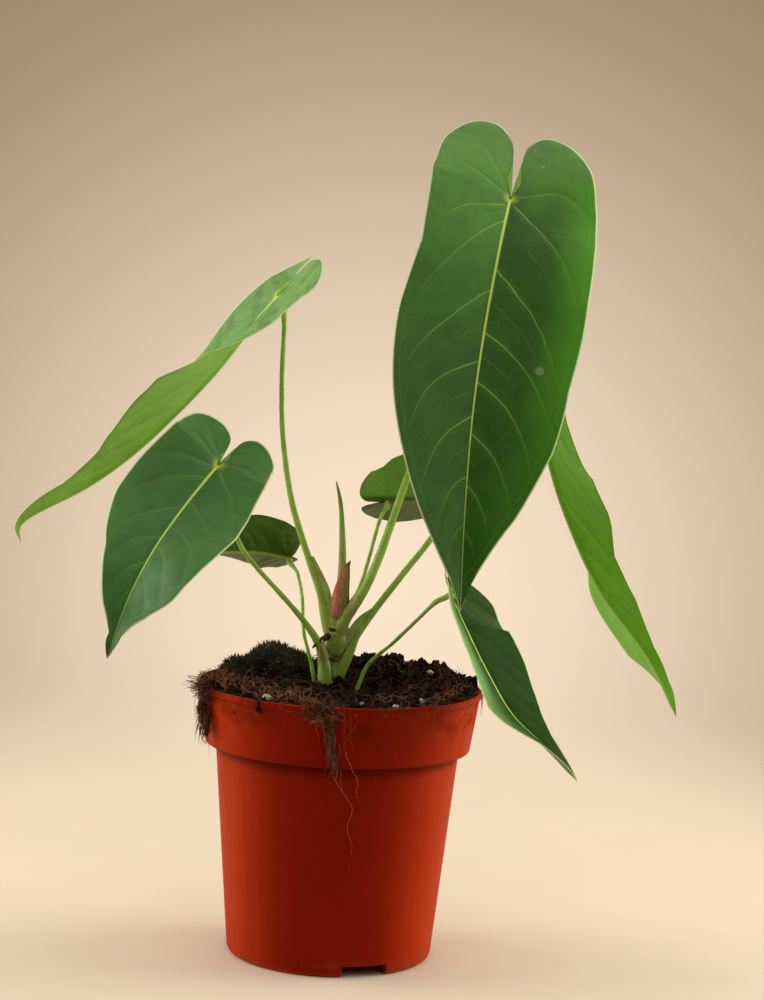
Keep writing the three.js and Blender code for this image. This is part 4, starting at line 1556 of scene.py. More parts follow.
# %% Roll the young leaf
SPEAR_LINE = Line([(-1.5, -1, 150), (-1.5, -1, 168), (-2.5, -1, 184.5), (-3.5, -1, 193), (-5.5, -1, 201)])
SPEAR_RADIUS = [(0, 2.2), (0.2, 1.95), (0.5, 1.5), (0.85, 0.85), (0.96, 0.45), (1, 0.15)]


def rolled_leaf(name, line, radius, turns, winding):
    """A grid rolled by a number of turns, whose edge winds round on its way up"""

    def place_of(across, up):
        across = (across + 1) / 2
        near, side = sideways_of(line.direction(up), np.array((0, -1, 0)))
        angle = 2 * math.pi * (turns * across + winding * up)
        size = float(from_list(radius, up)) * MM * (0.8 + 0.24 * across)
        return line.at(up) + near * size * math.cos(angle) + side * size * math.sin(angle)

    roll = shaped_grid(name, 48, 70, place_of)
    apply_modifier(roll, "SOLIDIFY", thickness=0.0002, offset=-1)
    smooth(roll)
    return roll


def spear_green():
    skin, tone, rest = plant_skin("young leaf skin", (120, 156, 56), (168, 192, 96), (116, 96, 52), 0.3)
    level = part(skin.place, "Z")
    tone = layered(
        tone,
        (ease(level, 0.182, 0.201, 0, 0.75), (84, 92, 40)),
        (ease(level, 0.153, 0.172, 0.6, 0), (176, 110, 78)),
    )
    return skin.finish(tone, *rest)


spear = rolled_leaf("rolled_young_leaf", SPEAR_LINE, SPEAR_RADIUS, 1.35, 0.45)
hand_in(spear, "young_leaf", [spear_green()], ["young_leaf"])

# %% Aerial root
ROOT_LINE = Line([(-5.5, -3.2, 135.8), (-9, -5.6, 133.8), (-12.2, -6.4, 130.8)])
ROOT_RADIUS = [(0, 1.4), (0.5, 1.1), (0.85, 0.6), (1, 0.15)]


def aerial_root():
    root = draw_tubes("aerial_root_stub", [tube_line(ROOT_LINE, ROOT_RADIUS, 24)], sides=8)
    roughen(root, 0.0003, 700)
    return root


root_brown = crumbly("aerial root skin", (58, 34, 21), (112, 74, 46), 420)
hand_in(aerial_root(), "aerial_root", [root_brown], ["aerial_root"])

# %% [markdown]
# ## Leaf sizes
#
# A leaf is described by the line of its midrib, how far it spreads on each side, and how its two
# halves turn, fold and ripple along the way. The numbers are those of the solids, so each dressed
# leaf lies exactly in its solid. The outline is one table for all leaves, from the notch at the
# stalk, round a lobe and down to the tip. Its third column says where on the midrib the vein that
# reaches this part of the margin begins.

# %% Leaf tables, lengths in millimetres
OUTLINE = [
    (0, 0, 0), (0.07, -0.22, 0), (0.05, -0.5, 0), (0.1, -0.8, 0), (0.28, -1, 0), (0.56, -0.92, 0),
    (0.8, -0.58, 0), (0.89, -0.12, 0), (0.93, 0.08, 0), (0.98, 0.24, 0.06), (1, 0.4, 0.18),
    (0.9, 0.57, 0.36), (0.66, 0.73, 0.56), (0.34, 0.87, 0.76), (0.1, 0.955, 0.91), (0, 1, 1),
]
LEAVES = {
    "front": {
        "spine": [
            (61, -7, 321.5), (56.5, -32, 300), (51.5, -51, 268), (48, -66, 235), (46.5, -77, 198),
            (46.5, -82, 159),
        ],
        "half_width": 40, "lobe": 44, "reach": (1.22, 1.15), "lobe_lift": -0.1,
        "turn": [(0, -9), (0.3, 5), (0.6, -6), (1, -15)],
        "fold": [
            [(-0.2, 0), (0, 8), (0.4, 11), (0.7, 16), (1, 22)],
            [(-0.2, 16), (0.2, 11), (0.7, 12), (1, 18)],
        ],
        "curl": [(0, -12), (1, -14)],
        "width": [
            [(-0.2, 1), (0, 0.97), (0.2, 0.82), (0.35, 0.88), (0.8, 0.95), (1, 0.82)],
            [(-0.2, 0.97), (0.1, 1.03), (0.5, 0.96), (0.65, 1.02), (0.8, 0.97), (0.95, 0.68)],
        ],
        "wave": [(1.5, 1.6, 0.1), (1.5, 1.3, 0.4)],
    },
    "left_high": {
        "spine": [
            (-34, 9.5, 277), (-43, 14, 266), (-59, 18, 244), (-74, 20, 226.5), (-92, 22, 208),
            (-112, 22, 192), (-138, 16, 176.5), (-139.5, 13.5, 167),
        ],
        "half_width": 31, "lobe": 24, "reach": (0.9, 1.24),
        "turn": [(0, 69), (0.2, 84), (0.4, 90), (0.6, 101), (0.8, 94), (1, 91)],
        "fold": [
            [(-0.2, -24), (0, 15), (0.2, 27), (1, 38)],
            [(-0.2, 1), (0, -3), (0.2, 21), (0.4, 21), (0.6, 29), (1, 36)],
        ],
        "curl": [(0, -6), (1, -8)],
        "width": [
            [(-0.2, 0.45), (0, 0.5), (0.35, 0.97), (0.5, 1.03), (1, 1)],
            [(-0.2, 1.8), (-0.1, 1.1), (0, 0.72), (0.35, 1.25), (0.65, 0.65), (0.8, 0.55), (1, 0.94)],
        ],
        "wave": [(2, 2, 0.1), (2, 2.2, 0.4)],
    },
    "left_low": {
        "spine": [
            (-54, -21, 207), (-66.5, -40, 190), (-77, -56, 173), (-86, -58, 153),
            (-92.5, -61.5, 131),
        ],
        "half_width": 31.5, "lobe": 20.5, "reach": (0.87, 1.08),
        "turn": [(0, 3), (0.6, 28), (0.8, 20)],
        "fold": [
            [(-0.2, 10), (0, 22), (0.4, 12), (0.6, 12), (0.8, 20)],
            [(-0.2, -4), (0, 22), (0.2, 15), (1, 21)],
        ],
        "curl": [(0, -14), (1, -14)],
        "width": [
            [(-0.2, 1.03), (-0.1, 0.87), (0.35, 0.87), (0.65, 0.69), (0.8, 0.55), (0.9, 0.3), (1, 1)],
            [(-0.2, 0.84), (-0.1, 0.76), (0.5, 0.95), (0.65, 0.91), (0.8, 0.76), (0.9, 0.46), (1, 0.87)],
        ],
        "wave": [(1, 1.6, 0.1), (1, 1.3, 0.4)],
    },
    "left_back": {
        "spine": [(-25, 38.5, 163.5), (-37.5, 35, 165.5), (-49.5, 37, 165), (-61.5, 41, 163.5)],
        "half_width": 20, "lobe": 4.6, "reach": (1.1, 0.4),
        "turn": [(0, 122), (0.2, 133), (1, 136)],
        "fold": [[(-0.2, 24), (0, 16), (0.4, 28)], [(-0.2, 20), (0, 10), (0.4, 29)]],
        "curl": [(0, -10)],
        "width": [
            [(0, 1.03), (0.35, 0.94), (0.65, 1)],
            [(-0.2, 1.05), (0, 0.99), (0.5, 0.82), (0.8, 0.95)],
        ],
        "wave": [(0.6, 1.4, 0.2), (0.6, 1.4, 0.5)],
    },
    "right_back": {
        "spine": [(15.5, 32, 190), (30, 37, 192), (45.5, 43, 191.5), (60, 47, 187)],
        "half_width": 24, "lobe": 11, "reach": (1.1, 0.88),
        "turn": [(0, -136), (0.6, -143), (1, -140)],
        "fold": [[(-0.2, 12), (0, 35), (0.2, 31)], [(-0.2, 26), (0, 30)]],
        "curl": [(0, -10)],
        "width": [
            [(-0.2, 0.9), (-0.1, 0.74), (0, 0.7), (0.1, 0.82), (0.5, 1)],
            [(-0.2, 0.5), (0, 0.87), (0.2, 1)],
        ],
        "wave": [(0.6, 1.4, 0.2), (0.6, 1.4, 0.5)],
    },
    "right_low": {
        "spine": [
            (44.5, -9, 156.5), (50.5, -27.5, 146), (60, -37.5, 129.5), (71, -46.5, 113.5),
            (85, -54, 102), (98, -57, 89.5),
        ],
        "half_width": 21.5, "lobe": 16, "reach": (0.48, 1.15),
        "turn": [(0, -79), (0.2, -63), (0.6, -54), (1, -76)],
        "fold": [
            [(-0.2, 39), (0, 19), (0.4, 23), (0.6, 17), (1, 32)],
            [(-0.2, 26), (0.4, 18), (0.8, 14), (1, 22)],
        ],
        "curl": [(0, -8)],
        "width": [
            [(-0.2, 0.66), (0, 0.54), (0.35, 0.77), (0.65, 1.02), (1, 1.02)],
            [
                (-0.2, 1.65), (0, 1.42), (0.2, 1.15), (0.35, 1.01), (0.65, 0.88), (0.8, 0.66),
                (0.9, 0.66), (1, 1),
            ],
        ],
        "wave": [(0.8, 2, 0.1), (0.8, 2.2, 0.4)],
    },
    "right_high": {
        "spine": [
            (80, 14, 239), (85.5, 29, 211), (96.5, 37, 182.5), (111.5, 41, 154.5),
            (134.5, 46.5, 125), (146.5, 31, 102.5),
        ],
        "half_width": 30, "lobe": 26, "reach": (1, 1),
        "turn": [(0, -93), (0.4, -106), (0.6, -114), (0.8, -132), (1, -114)],
        "fold": [
            [(-0.2, 20), (0, 15), (0.4, 32), (0.7, 28), (1, 38)],
            [(-0.2, 20), (0.2, 27), (0.4, 37), (0.8, 26), (1, 52)],
        ],
        "curl": [(0, -8), (1, -10)],
        "width": [
            [
                (-0.2, 0.82), (0.2, 1), (0.35, 0.87), (0.5, 0.53), (0.65, 0.5), (0.8, 0.33),
                (0.9, 0.45), (1, 1.2),
            ],
            [(-0.2, 0.98), (0.2, 0.94), (0.35, 1.03), (0.65, 1.31), (0.8, 1.32), (1, 0.84)],
        ],
        "wave": [(1.5, 2, 0.1), (1.5, 2.2, 0.4)],
    },
}
print("leaves:", ", ".join(LEAVES))


# %% Where a leaf's surface is
def unit(vectors):
    return vectors / np.linalg.norm(vectors, axis=-1, keepdims=True)


def leaf_axes(leaf, share):
    """Along the midrib, out of the upper face, and sideways, at shares of the midrib"""
    along = leaf["line"].direction(share)
    front = np.array((0, -1, 0.09))
    facing = unit(front - along * (along @ front)[:, None])
    turn = np.radians(from_list(leaf["turn"], share))[:, None]
    facing = facing * np.cos(turn) + np.cross(along, facing) * np.sin(turn)
    return along, facing, np.cross(along, facing)


def leaf_surface(leaf, across, down):
    """Places, surface normals and flat coordinates for columns across, -1 to 1, and rows down, 0 to 1"""
    length = leaf["line"].length / MM
    way = np.where(across < 0, -1, 1)
    side = np.where(across < 0, 1, 0)
    out = np.abs(across)
    edge = smooth_places(OUTLINE, down * (len(OUTLINE) - 1))
    last = down >= 1 - 1e-9
    ends = last | (down <= 1e-9)
    root = np.where(last, length, np.clip(edge[:, 2], 0, 1) * length)
    back_depth = leaf["lobe"] * np.where(side == 0, *leaf["reach"])
    end_y = np.where(last, length, edge[:, 1] * np.where(edge[:, 1] < 0, back_depth, length))

    def by_side(lists, at):
        return np.where(side == 0, from_list(lists[0], at), from_list(lists[1], at))

    widest = leaf["half_width"] * by_side(leaf["width"], end_y / length)
    end_x = np.where(ends, 0, np.maximum(edge[:, 0], 0) * widest)
    x = 2 * out * (1 - out) * 0.55 * end_x + out**2 * end_x
    bend_y = root + (end_y - root) * 0.3
    y = (1 - out) ** 2 * root + 2 * out * (1 - out) * bend_y + out**2 * end_y
    share = np.clip(y / length, 0, 1)
    along, facing, sideways = leaf_axes(leaf, share)
    back = np.minimum(y, 0)
    lift = leaf.get("lobe_lift", 0) * (back / leaf["lobe"]) ** 2 * leaf["lobe"]
    fold = np.radians(by_side(leaf["fold"], y / length))
    bend = np.radians(from_list(leaf["curl"], y / length)) / leaf["half_width"]
    reach = (np.sin(fold + bend * x) - np.sin(fold)) / bend
    rise = (np.cos(fold) - np.cos(fold + bend * x)) / bend
    swing, waves, phase = (np.where(side == 0, *pair) for pair in zip(*leaf["wave"]))
    ripple = swing * out**2 * end_x / leaf["half_width"] * np.sin(2 * np.pi * (waves * y / length + phase))
    places = leaf["line"].at(share) + along * back[:, None] * MM
    places += sideways * (way * reach)[:, None] * MM + facing * (lift + rise + ripple)[:, None] * MM
    tilt = np.where(x < 1e-6, 0, fold + bend * x)
    normals = facing * np.cos(tilt)[:, None] - sideways * (way * np.sin(tilt))[:, None]
    flat = np.stack([way * x, y], -1) * MM
    return places, normals, flat


for leaf in LEAVES.values():
    leaf["line"] = Line(leaf["spine"])
print("midrib lengths in mm:", [round(leaf["line"].length / MM) for leaf in LEAVES.values()])

# %% [markdown]
# ## Stalks
#
# Each leaf stands on a stalk that is thickest at its foot, thins upwards and swells again under the
# blade, at the joint that turns the leaf to the light. The same bevelled curve does it. How far up
# each vertex is, and how much it looks down, are kept as attributes, so that the material can
# redden the foot, pale the joint and deepen the shaded side.

# %% Stalk routes, in millimetres
STALKS = {
    "front": {
        "path": [
            (1, -3, 144), (7, -4, 153.5), (13.5, -4, 169), (22.5, -3, 198.5), (31.5, -2, 228.5),
            (40, 0, 258), (50, 1, 285.5), (58, 1.5, 306.5),
        ],
        "radius": [
            (0, 2.3), (0.08, 2), (0.2, 1.75), (0.35, 1.45), (0.6, 1.3), (0.91, 1.15), (0.95, 1.45),
            (1, 1.45),
        ],
    },
    "left_high": {
        "path": [
            (-8, -1, 145.5), (-10.5, 0, 154.5), (-15.5, 1, 167), (-24, 3, 191.5), (-29, 5, 219),
            (-30.5, 7, 244), (-30.5, 9, 264.5),
        ],
        "radius": [(0, 1.7), (0.1, 1.5), (0.3, 1.3), (0.6, 1.05), (0.9, 1), (0.95, 1.4), (1, 1.4)],
    },
    "left_low": {
        "path": [
            (-7, -3, 124.5), (-9.5, -5, 132), (-14.5, -6, 139.5), (-22.5, -8, 149),
            (-40, -13, 168), (-46, -15, 178.5), (-52.5, -15, 198),
        ],
        "radius": [(0, 2.2), (0.1, 1.7), (0.25, 1.15), (0.5, 1), (0.9, 1), (0.95, 1.4), (1, 1.4)],
    },
    "left_back": {
        "path": [
            (-9, 2, 105), (-12.5, 2.5, 122), (-16.5, 6, 135.5), (-18, 13, 149), (-20.5, 23, 157.5),
            (-22, 28, 159.5),
        ],
        "radius": [(0, 1), (0.3, 0.75), (0.85, 0.75), (0.93, 1.2), (1, 1.2)],
    },
    "right_back": {
        "path": [(1, 3, 146.5), (6, 7, 154.5), (9.5, 12, 167), (13.5, 20, 183.5)],
        "radius": [(0, 1.1), (0.3, 0.8), (0.6, 0.75), (0.88, 0.9), (0.94, 1.3), (1, 1.3)],
    },
    "right_low": {
        "path": [(7, -1, 113), (11.5, -1, 124), (21.5, -3, 134), (31, -6, 144.5), (38, -9, 152.5)],
        "radius": [(0, 0.9), (0.3, 0.75), (0.8, 0.8), (0.9, 1.2), (1, 1.2)],
    },
    "right_high": {
        "path": [
            (2.5, 0, 127.5), (5, 1, 134), (13, 4, 146.5), (25.5, 9, 163.5), (34.5, 12, 175.5),
            (47, 15, 195), (63, 14, 220.5), (74, 12, 233),
        ],
        "radius": [(0, 1.9), (0.08, 1.6), (0.3, 1.35), (0.6, 1.2), (0.91, 1.15), (0.95, 1.45), (1, 1.45)],
    },
}
BLADE_HALF = 0.4
RIB_DEPTH = 0.7
CLEARANCE = 0.3


def stalk_line(name):
    """From the stem to just under the blade, then square into it"""
    leaf = LEAVES[name]
    stalk = STALKS[name]
    facing = leaf_axes(leaf, np.array([0]))[1][0]
    joint = np.array(leaf["spine"][0])
    under = joint - facing * (BLADE_HALF + RIB_DEPTH + CLEARANCE + stalk["radius"][-1][1])
    return Line(stalk["path"] + [tuple(under), tuple(joint - facing * 0.45)])


def add_values(piece, name, values):
    """Writes one number for each vertex as an attribute that materials can read"""
    attribute = piece.data.attributes.new(name, "FLOAT", "POINT")
    attribute.data.foreach_set("value", np.asarray(values, np.float32))


def places_of(piece):
    flat = np.empty(len(piece.data.vertices) * 3, np.float32)
    piece.data.vertices.foreach_get("co", flat)
    return flat.reshape(-1, 3)


def make_stalk(name):
    line = STALKS[name]["line"]
    stalk = draw_tubes(f"stalk_{name}", [tube_line(line, STALKS[name]["radius"], 90)], sides=6)
    known = line.at(np.linspace(0, 1, 200))
    nearest = np.argmin(np.linalg.norm(places_of(stalk)[:, None] - known[None], axis=2), axis=1)
    add_values(stalk, "way_up", nearest / 199)
    add_values(stalk, "looks_down", [max(0, -vertex.normal.z) for vertex in stalk.data.vertices])
    roughen(stalk, 0.00012, 320)
    return stalk


# %% Stalk skin
# Dark nodes on the low stalk at the right, in millimetres
STALK_NODES = ((24.2, -4, 134), (31.2, -6, 141.6))


def stalk_skin():
    skin, tone, rest = plant_skin("stalk skin", (128, 172, 56), (172, 208, 96), (98, 92, 42), 0.3, 0.38)
    way = read_value(skin.tree, "way_up")
    blush = ease(cloud(skin.place, 150, 2), 0.45, 0.65, 0.3, 1)
    tone = layered(
        tone,
        # painted shade on the side that looks down
        (read_value(skin.tree, "looks_down") * 0.5, (70, 100, 34)),
        (ease(way, 0, 0.12, 0.3, 0) * blush, (160, 112, 84)),
        (ease(way, 0.88, 0.97, 0, 0.7), (188, 200, 92)),
    )
    for at in STALK_NODES:
        node = spot_distance(skin.place, at, (2, 4, 1.6))
        tone = mix(ease(node, 0.5, 1.1, 0.8, 0), tone, (62, 48, 28))
    return skin.finish(tone, *rest)


green_stalk = stalk_skin()
for name in STALKS:
    STALKS[name]["line"] = stalk_line(name)
    hand_in(make_stalk(name), "petiole", [green_stalk], [f"petiole_{name}"])

# %% Sheaths at the stalks' feet
FOOT_SHEATHS = [
    {"stalk": "front", "towards": (-0.5, -0.9, 0.3), "end": 0.06, "radius": 2.7, "ear": 0.5},
    {"stalk": "left_low", "towards": (0.6, -0.6, 0.7), "end": 0.1, "radius": 2.5, "ear": 0.6},
]
# Where a stalk grows out of the stem: it starts wide inside the stem and narrows to its own size
FEET = [
    {
        "path": [(-3.5, 0, 134), (-6, -0.5, 140), (-8, -1, 145.5), (-9.6, -0.5, 151)],
        "radius": [(0, 3.6), (0.35, 3), (0.7, 2.1), (1, 1.5)],
    },
    {
        "path": [(-1.5, -1, 137), (-0.5, -2.2, 141), (1.5, -3, 145), (5.4, -3.9, 151)],
        "radius": [(0, 3.6), (0.35, 3.1), (0.65, 2.6), (1, 2)],
    },
    {
        "path": [(-1.5, 0, 119), (0.4, 0, 123), (2.6, 0, 127.5), (5.6, 1.2, 135)],
        "radius": [(0, 3.3), (0.3, 2.9), (0.6, 2.3), (1, 1.6)],
    },
    {
        "path": [(-5, -1, 112), (-5.8, -2, 117), (-7, -3, 124), (-9.2, -4.8, 131)],
        "radius": [(0, 4), (0.3, 3.5), (0.65, 2.7), (1, 1.7)],
    },
]
# Thin wings between a stalk's foot and a free edge, whose places are in millimetres
WINGS = [
    {
        "stalk": "left_high", "end": 0.18,
        "edge": [(-4.6, -2.4, 141), (-5.6, -2.4, 153.3), (-9.4, -1, 161.5), (-13.6, 0, 168.6)],
    },
    {
        "stalk": "right_high", "end": 0.165,
        "edge": [(-0.5, -2, 133), (3.1, -2.6, 139.7), (7, -0.5, 144.3), (11.7, 2, 147.4)],
    },
]


def foot_sheath(stalk, towards, end, radius, ear):
    """The sheath's size follows its stalk, with a little air, and shrinks to a point"""
    sizes = []
    for step in range(9):
        up = step / 8
        inner = float(from_list(STALKS[stalk]["radius"], end * up))
        sizes.append((up, max(inner + 0.28, radius * (1 - up) ** 0.5) if up < 0.9 else inner + 0.3))
    wrap = [(0, 118), (0.4, 100), (0.8, 60), (1, 4)]
    return rolled_sheath(f"sheath_{stalk}", STALKS[stalk]["line"], sizes, towards, wrap, ear=ear, end=end)


def stalk_wing(stalk, end, edge):
    """A bowed sheet from a stalk's middle line to a free edge"""
    outer = Line(edge)

    def place_of(across, up):
        out = (across + 1) / 2
        inner = STALKS[stalk]["line"].at(end * up)
        bow = 0.0009 * math.sin(math.pi * out) * (1 - up)
        return inner + (outer.at(up) - inner) * out + np.array((0, -bow, 0))

    wing = shaped_grid(f"wing_{stalk}", 16, 30, place_of)
    close_up(wing, 1e-5)
    apply_modifier(wing, "SOLIDIFY", thickness=0.0003, offset=0)
    smooth(wing)
    return wing


def stalk_feet():
    lines = [tube_line(Line(foot["path"]), foot["radius"], 30) for foot in FEET]
    feet = draw_tubes("stalk_feet", lines, sides=8)
    add_values(feet, "way_up", np.zeros(len(feet.data.vertices)))
    add_values(feet, "looks_down", [max(0, -vertex.normal.z) for vertex in feet.data.vertices])
    return feet


def sheath_skin():
    skin, tone, rest = plant_skin("green sheath", (120, 146, 60), (172, 184, 108), (136, 84, 60), 0.5, 0.5)
    blush = ease(cloud(skin.place, 190), 0.5, 0.68, 0, 0.6)
    return skin.finish(mix(blush, tone, (184, 122, 96)), *rest)


green_sheath = sheath_skin()
for sheath in FOOT_SHEATHS:
    hand_in(foot_sheath(**sheath), "petiole", [green_sheath])
for wing in WINGS:
    hand_in(stalk_wing(**wing), "petiole", [green_sheath])
hand_in(stalk_feet(), "petiole", [green_stalk])

# %% [markdown]
# ## Leaf blades
#
# A blade is a thin sheet, so it starts as a flat grid. Its columns run from midrib to margin and
# its rows follow the side veins, so moving each vertex to its place on the leaf gives the outline
# and the lie of the veins together. The sheet dips along the veins and puffs up between them.
# Solidify makes it thicker under the veins, by a vertex group, and gives the lower face and the cut
# edge materials of their own.

# %% Vein places
VEIN_PLACES = [
    [
        (4.1, 4.42, 4.74, 5, 5.7), (6, 6.18, 6.32, 6.7, 8.1), (8.5, 8.57, 8.55, 8.63, 8.9),
        (9.2, 9.5, 9.72, 9.86, 10.1), (10.6, 10.66, 10.71, 10.75, 10.85), (11.5, 11.45, 11.4, 11.45, 11.65),
        (12.1, 12.1, 12.1, 12.2, 12.35), (12.75, 12.72, 12.75, 12.82, 12.95),
        (13.3, 13.3, 13.32, 13.4, 13.5), (13.85, 13.85, 13.87, 13.92, 14),
    ],
    [
        (3.95, 4.18, 4.42, 4.76, 5.5), (6.1, 6.15, 6.28, 6.9, 8), (8.3, 8.84, 9.06, 9.38, 9.9),
        (10.32, 10.42, 10.49, 10.64, 10.9), (11.15, 11.13, 11.12, 11.2, 11.35),
        (11.72, 11.7, 11.72, 11.82, 12),
        (12.3, 12.3, 12.33, 12.4, 12.55), (12.85, 12.85, 12.88, 12.95, 13.1),
        (13.4, 13.4, 13.42, 13.5, 13.6), (13.9, 13.9, 13.92, 13.97, 14.05),
    ],
]


def vein_count(across, down):
    """Rises by one from vein to vein, so that it is a whole number on each of them"""
    place = down * (len(OUTLINE) - 1)
    out = np.abs(across) * 4
    counts = []
    for veins in VEIN_PLACES:
        routes = [smooth_places([[value] for value in route], out)[:, 0] for route in veins]
        known = np.vstack([np.zeros_like(place), *routes, np.full_like(place, len(OUTLINE) - 1)])
        numbers = np.array([0.35, *range(1, len(veins) + 1), len(veins) + 0.65])
        before = np.clip((known <= place).sum(axis=0) - 1, 0, len(veins))
        start = np.take_along_axis(known, before[None], 0)[0]
        end = np.take_along_axis(known, before[None] + 1, 0)[0]
        share = (place - start) / np.maximum(end - start, 1e-6)
        counts.append(numbers[before] + share * (numbers[before + 1] - numbers[before]))
    return np.where(across < 0, counts[1], counts[0])


def vein_gap(leaf, across, down):
    """Metres from one vein to the next at each vertex, from the slope of the count on the flat leaf"""
    sign = np.where(across < 0, -1, 1)
    out = np.clip(np.abs(across), 0.02, 0.98)
    middle = np.clip(down, 0.012, 0.988)
    steps = []
    for out_step, down_step in ((0.015, 0), (0, 0.008)):
        ends = []
        for way in (-1, 1):
            columns = sign * (out + way * out_step)
            rows = middle + way * down_step
            ends.append((leaf_surface(leaf, columns, rows)[2], vein_count(columns, rows)))
        steps.append((ends[1][0] - ends[0][0], ends[1][1] - ends[0][1]))
    (right, right_count), (forward, forward_count) = steps
    area = right[:, 0] * forward[:, 1] - right[:, 1] * forward[:, 0]
    area = np.where(np.abs(area) < 1e-12, 1e-12, area)
    slope_x = (right_count * forward[:, 1] - forward_count * right[:, 1]) / area
    slope_y = (forward_count * right[:, 0] - right_count * forward[:, 0]) / area
    return np.clip(1 / np.maximum(np.hypot(slope_x, slope_y), 1e-3), 0.0005, 0.06)


MARGIN_PLACES = 2400


def margin_distance(leaf, across, flat):
    """Metres to the nearest place on the same half's margin"""
    distances = np.zeros(len(flat))
    rows = np.linspace(0, 1, MARGIN_PLACES)
    for sign in (-1, 1):
        margin = leaf_surface(leaf, np.full(MARGIN_PLACES, float(sign)), rows)[2]
        search = kdtree.KDTree(MARGIN_PLACES)
        for number, place in enumerate(margin):
            search.insert((*place, 0), number)
        search.balance()
        for index in np.nonzero((across < 0) == (sign < 0))[0]:
            distances[index] = search.find((*flat[index], 0))[2]
    return distances


# %% Shape one blade
GRID_SIZES = {"front": (76, 200), "left_high": (56, 170), "left_low": (56, 170), "right_high": (56, 170)}
SMALL_GRID = (44, 130)
UPPER_FACE = 0.00022
LEAF_THICKNESS = 0.00048
RIB_THICKNESS = 0.00118
BOX_SPARE = 0.0001
EASED_EDGE = 0.01


def clear_of_ends(leaf, flat, from_midrib, from_margin):
    """1 over most of the blade and 0 at its tip and its lobes' ends, where side veins run together"""
    tip = np.clip((from_midrib + from_margin) / 0.005 - 1, 0, 1)
    lobes = np.clip(flat[:, 1] / (leaf["lobe"] * MM) / 0.3 + 2.5, 0, 1)
    return tip * lobes


def make_blade(name):
    leaf = LEAVES[name]
    columns, rows = GRID_SIZES.get(name, SMALL_GRID)
    clear_selection()
    bpy.ops.mesh.primitive_grid_add(x_subdivisions=columns, y_subdivisions=rows, size=2)
    blade = bpy.context.object
    blade.name = f"leaf_{name}"
    start = places_of(blade).astype(float)
    across = np.sign(start[:, 0]) * np.abs(start[:, 0]) ** 1.2
    down = np.clip((start[:, 1] + 1) / 2, 0, 1)
    places, normals, flat = leaf_surface(leaf, across, down)
    length = leaf["line"].length
    count = vein_count(across, down)
    gap = vein_gap(leaf, across, down)
    from_midrib = np.hypot(flat[:, 0], np.minimum(flat[:, 1], 0))
    from_margin = margin_distance(leaf, across, flat)
    from_vein = np.abs(count - np.round(count)) * gap
    along = np.clip(flat[:, 1] / length, 0, 1)
    dip = 0.00026 * np.exp(-((from_vein / 0.0013) ** 2)) * np.clip(from_margin / 0.006, 0, 1)
    clear = clear_of_ends(leaf, flat, from_midrib, from_margin)
    dip *= clear
    dip = np.maximum(dip, 0.0003 * np.exp(-((from_midrib / 0.0013) ** 2)))
    places += normals * (UPPER_FACE - dip)[:, None]
    blade.data.vertices.foreach_set("co", places.astype(np.float32).ravel())
    facing = normals.mean(axis=0)
    values = {
        "vein_count": count, "vein_gap": gap, "from_midrib": from_midrib, "from_margin": from_margin,
        "along": along, "clear": clear,
    }
    paint_blade(blade, flat, values)
    close_up(blade, 2e-5)
    upper = sum((polygon.normal * polygon.area for polygon in blade.data.polygons), Vector())
    if upper.dot(Vector(facing)) < 0:
        edit(blade)
        bpy.ops.mesh.flip_normals()
        to_object_mode()
    return blade


def paint_blade(blade, flat, values):
    """Writes what the materials read, the flat map and the thickness group"""
    for name, numbers in values.items():
        add_values(blade, name, numbers)
    corners = np.empty(len(blade.data.loops), np.int32)
    blade.data.loops.foreach_get("vertex_index", corners)
    blade.data.uv_layers.active.data.foreach_set("uv", flat[corners].astype(np.float32).ravel())
    count = values["vein_count"]
    from_margin = values["from_margin"]
    from_vein = np.abs(count - np.round(count)) * values["vein_gap"]
    rib = np.sqrt(1 - values["along"]) * np.exp(-((values["from_midrib"] / 0.0011) ** 2))
    small = 0.3 * np.exp(-((from_vein / 0.0006) ** 2)) * np.clip(from_margin / 0.01, 0, 1)
    small *= values["clear"]
    weight = LEAF_THICKNESS + (RIB_THICKNESS - LEAF_THICKNESS) * np.maximum(rib, small)
    weight *= np.clip(0.45 + from_margin / 0.004, 0, 1)
    group = blade.vertex_groups.new(name="thickness")
    for index, value in enumerate(weight / RIB_THICKNESS):
        group.add([index], float(value), "REPLACE")


def thicken(blade):
    apply_modifier(
        blade, "SOLIDIFY", thickness=RIB_THICKNESS, offset=-1, vertex_group="thickness",
        material_offset=1, material_offset_rim=2,
    )
    smooth(blade)


def keep_in_box(piece):
    """Eases an edge that stands a hair outside the solids' box back into it"""
    places = places_of(piece).astype(float)
    for axis in range(3):
        for sign, corner in ((-1, cad_box[0]), (1, cad_box[1])):
            reach = sign * places[:, axis]
            excess = reach.max() - (sign * corner[axis] - BOX_SPARE)
            if excess > 0:
                near = np.clip(1 - (reach.max() - reach) / EASED_EDGE, 0, 1)
                places[:, axis] -= sign * excess * near
    piece.data.vertices.foreach_set("co", places.astype(np.float32).ravel())
    piece.data.update()


# %% [markdown]
# ## Veins in a material
#
# The veins are drawn from the attributes, and not from a picture. "Vein count" is a whole number on
# each side vein, so its distance to the nearest whole number, times the gap between veins, is the
# distance from a vein in metres. Half a step on, the same sum gives the finer veins between. A cell
# pattern on the flat map adds the net that joins them, broken up by soft patches.


# %% Node group for veins
VEIN_MASKS = ("Midrib", "Veins", "Fine veins", "Net", "Star")
NET_SCALE = 240


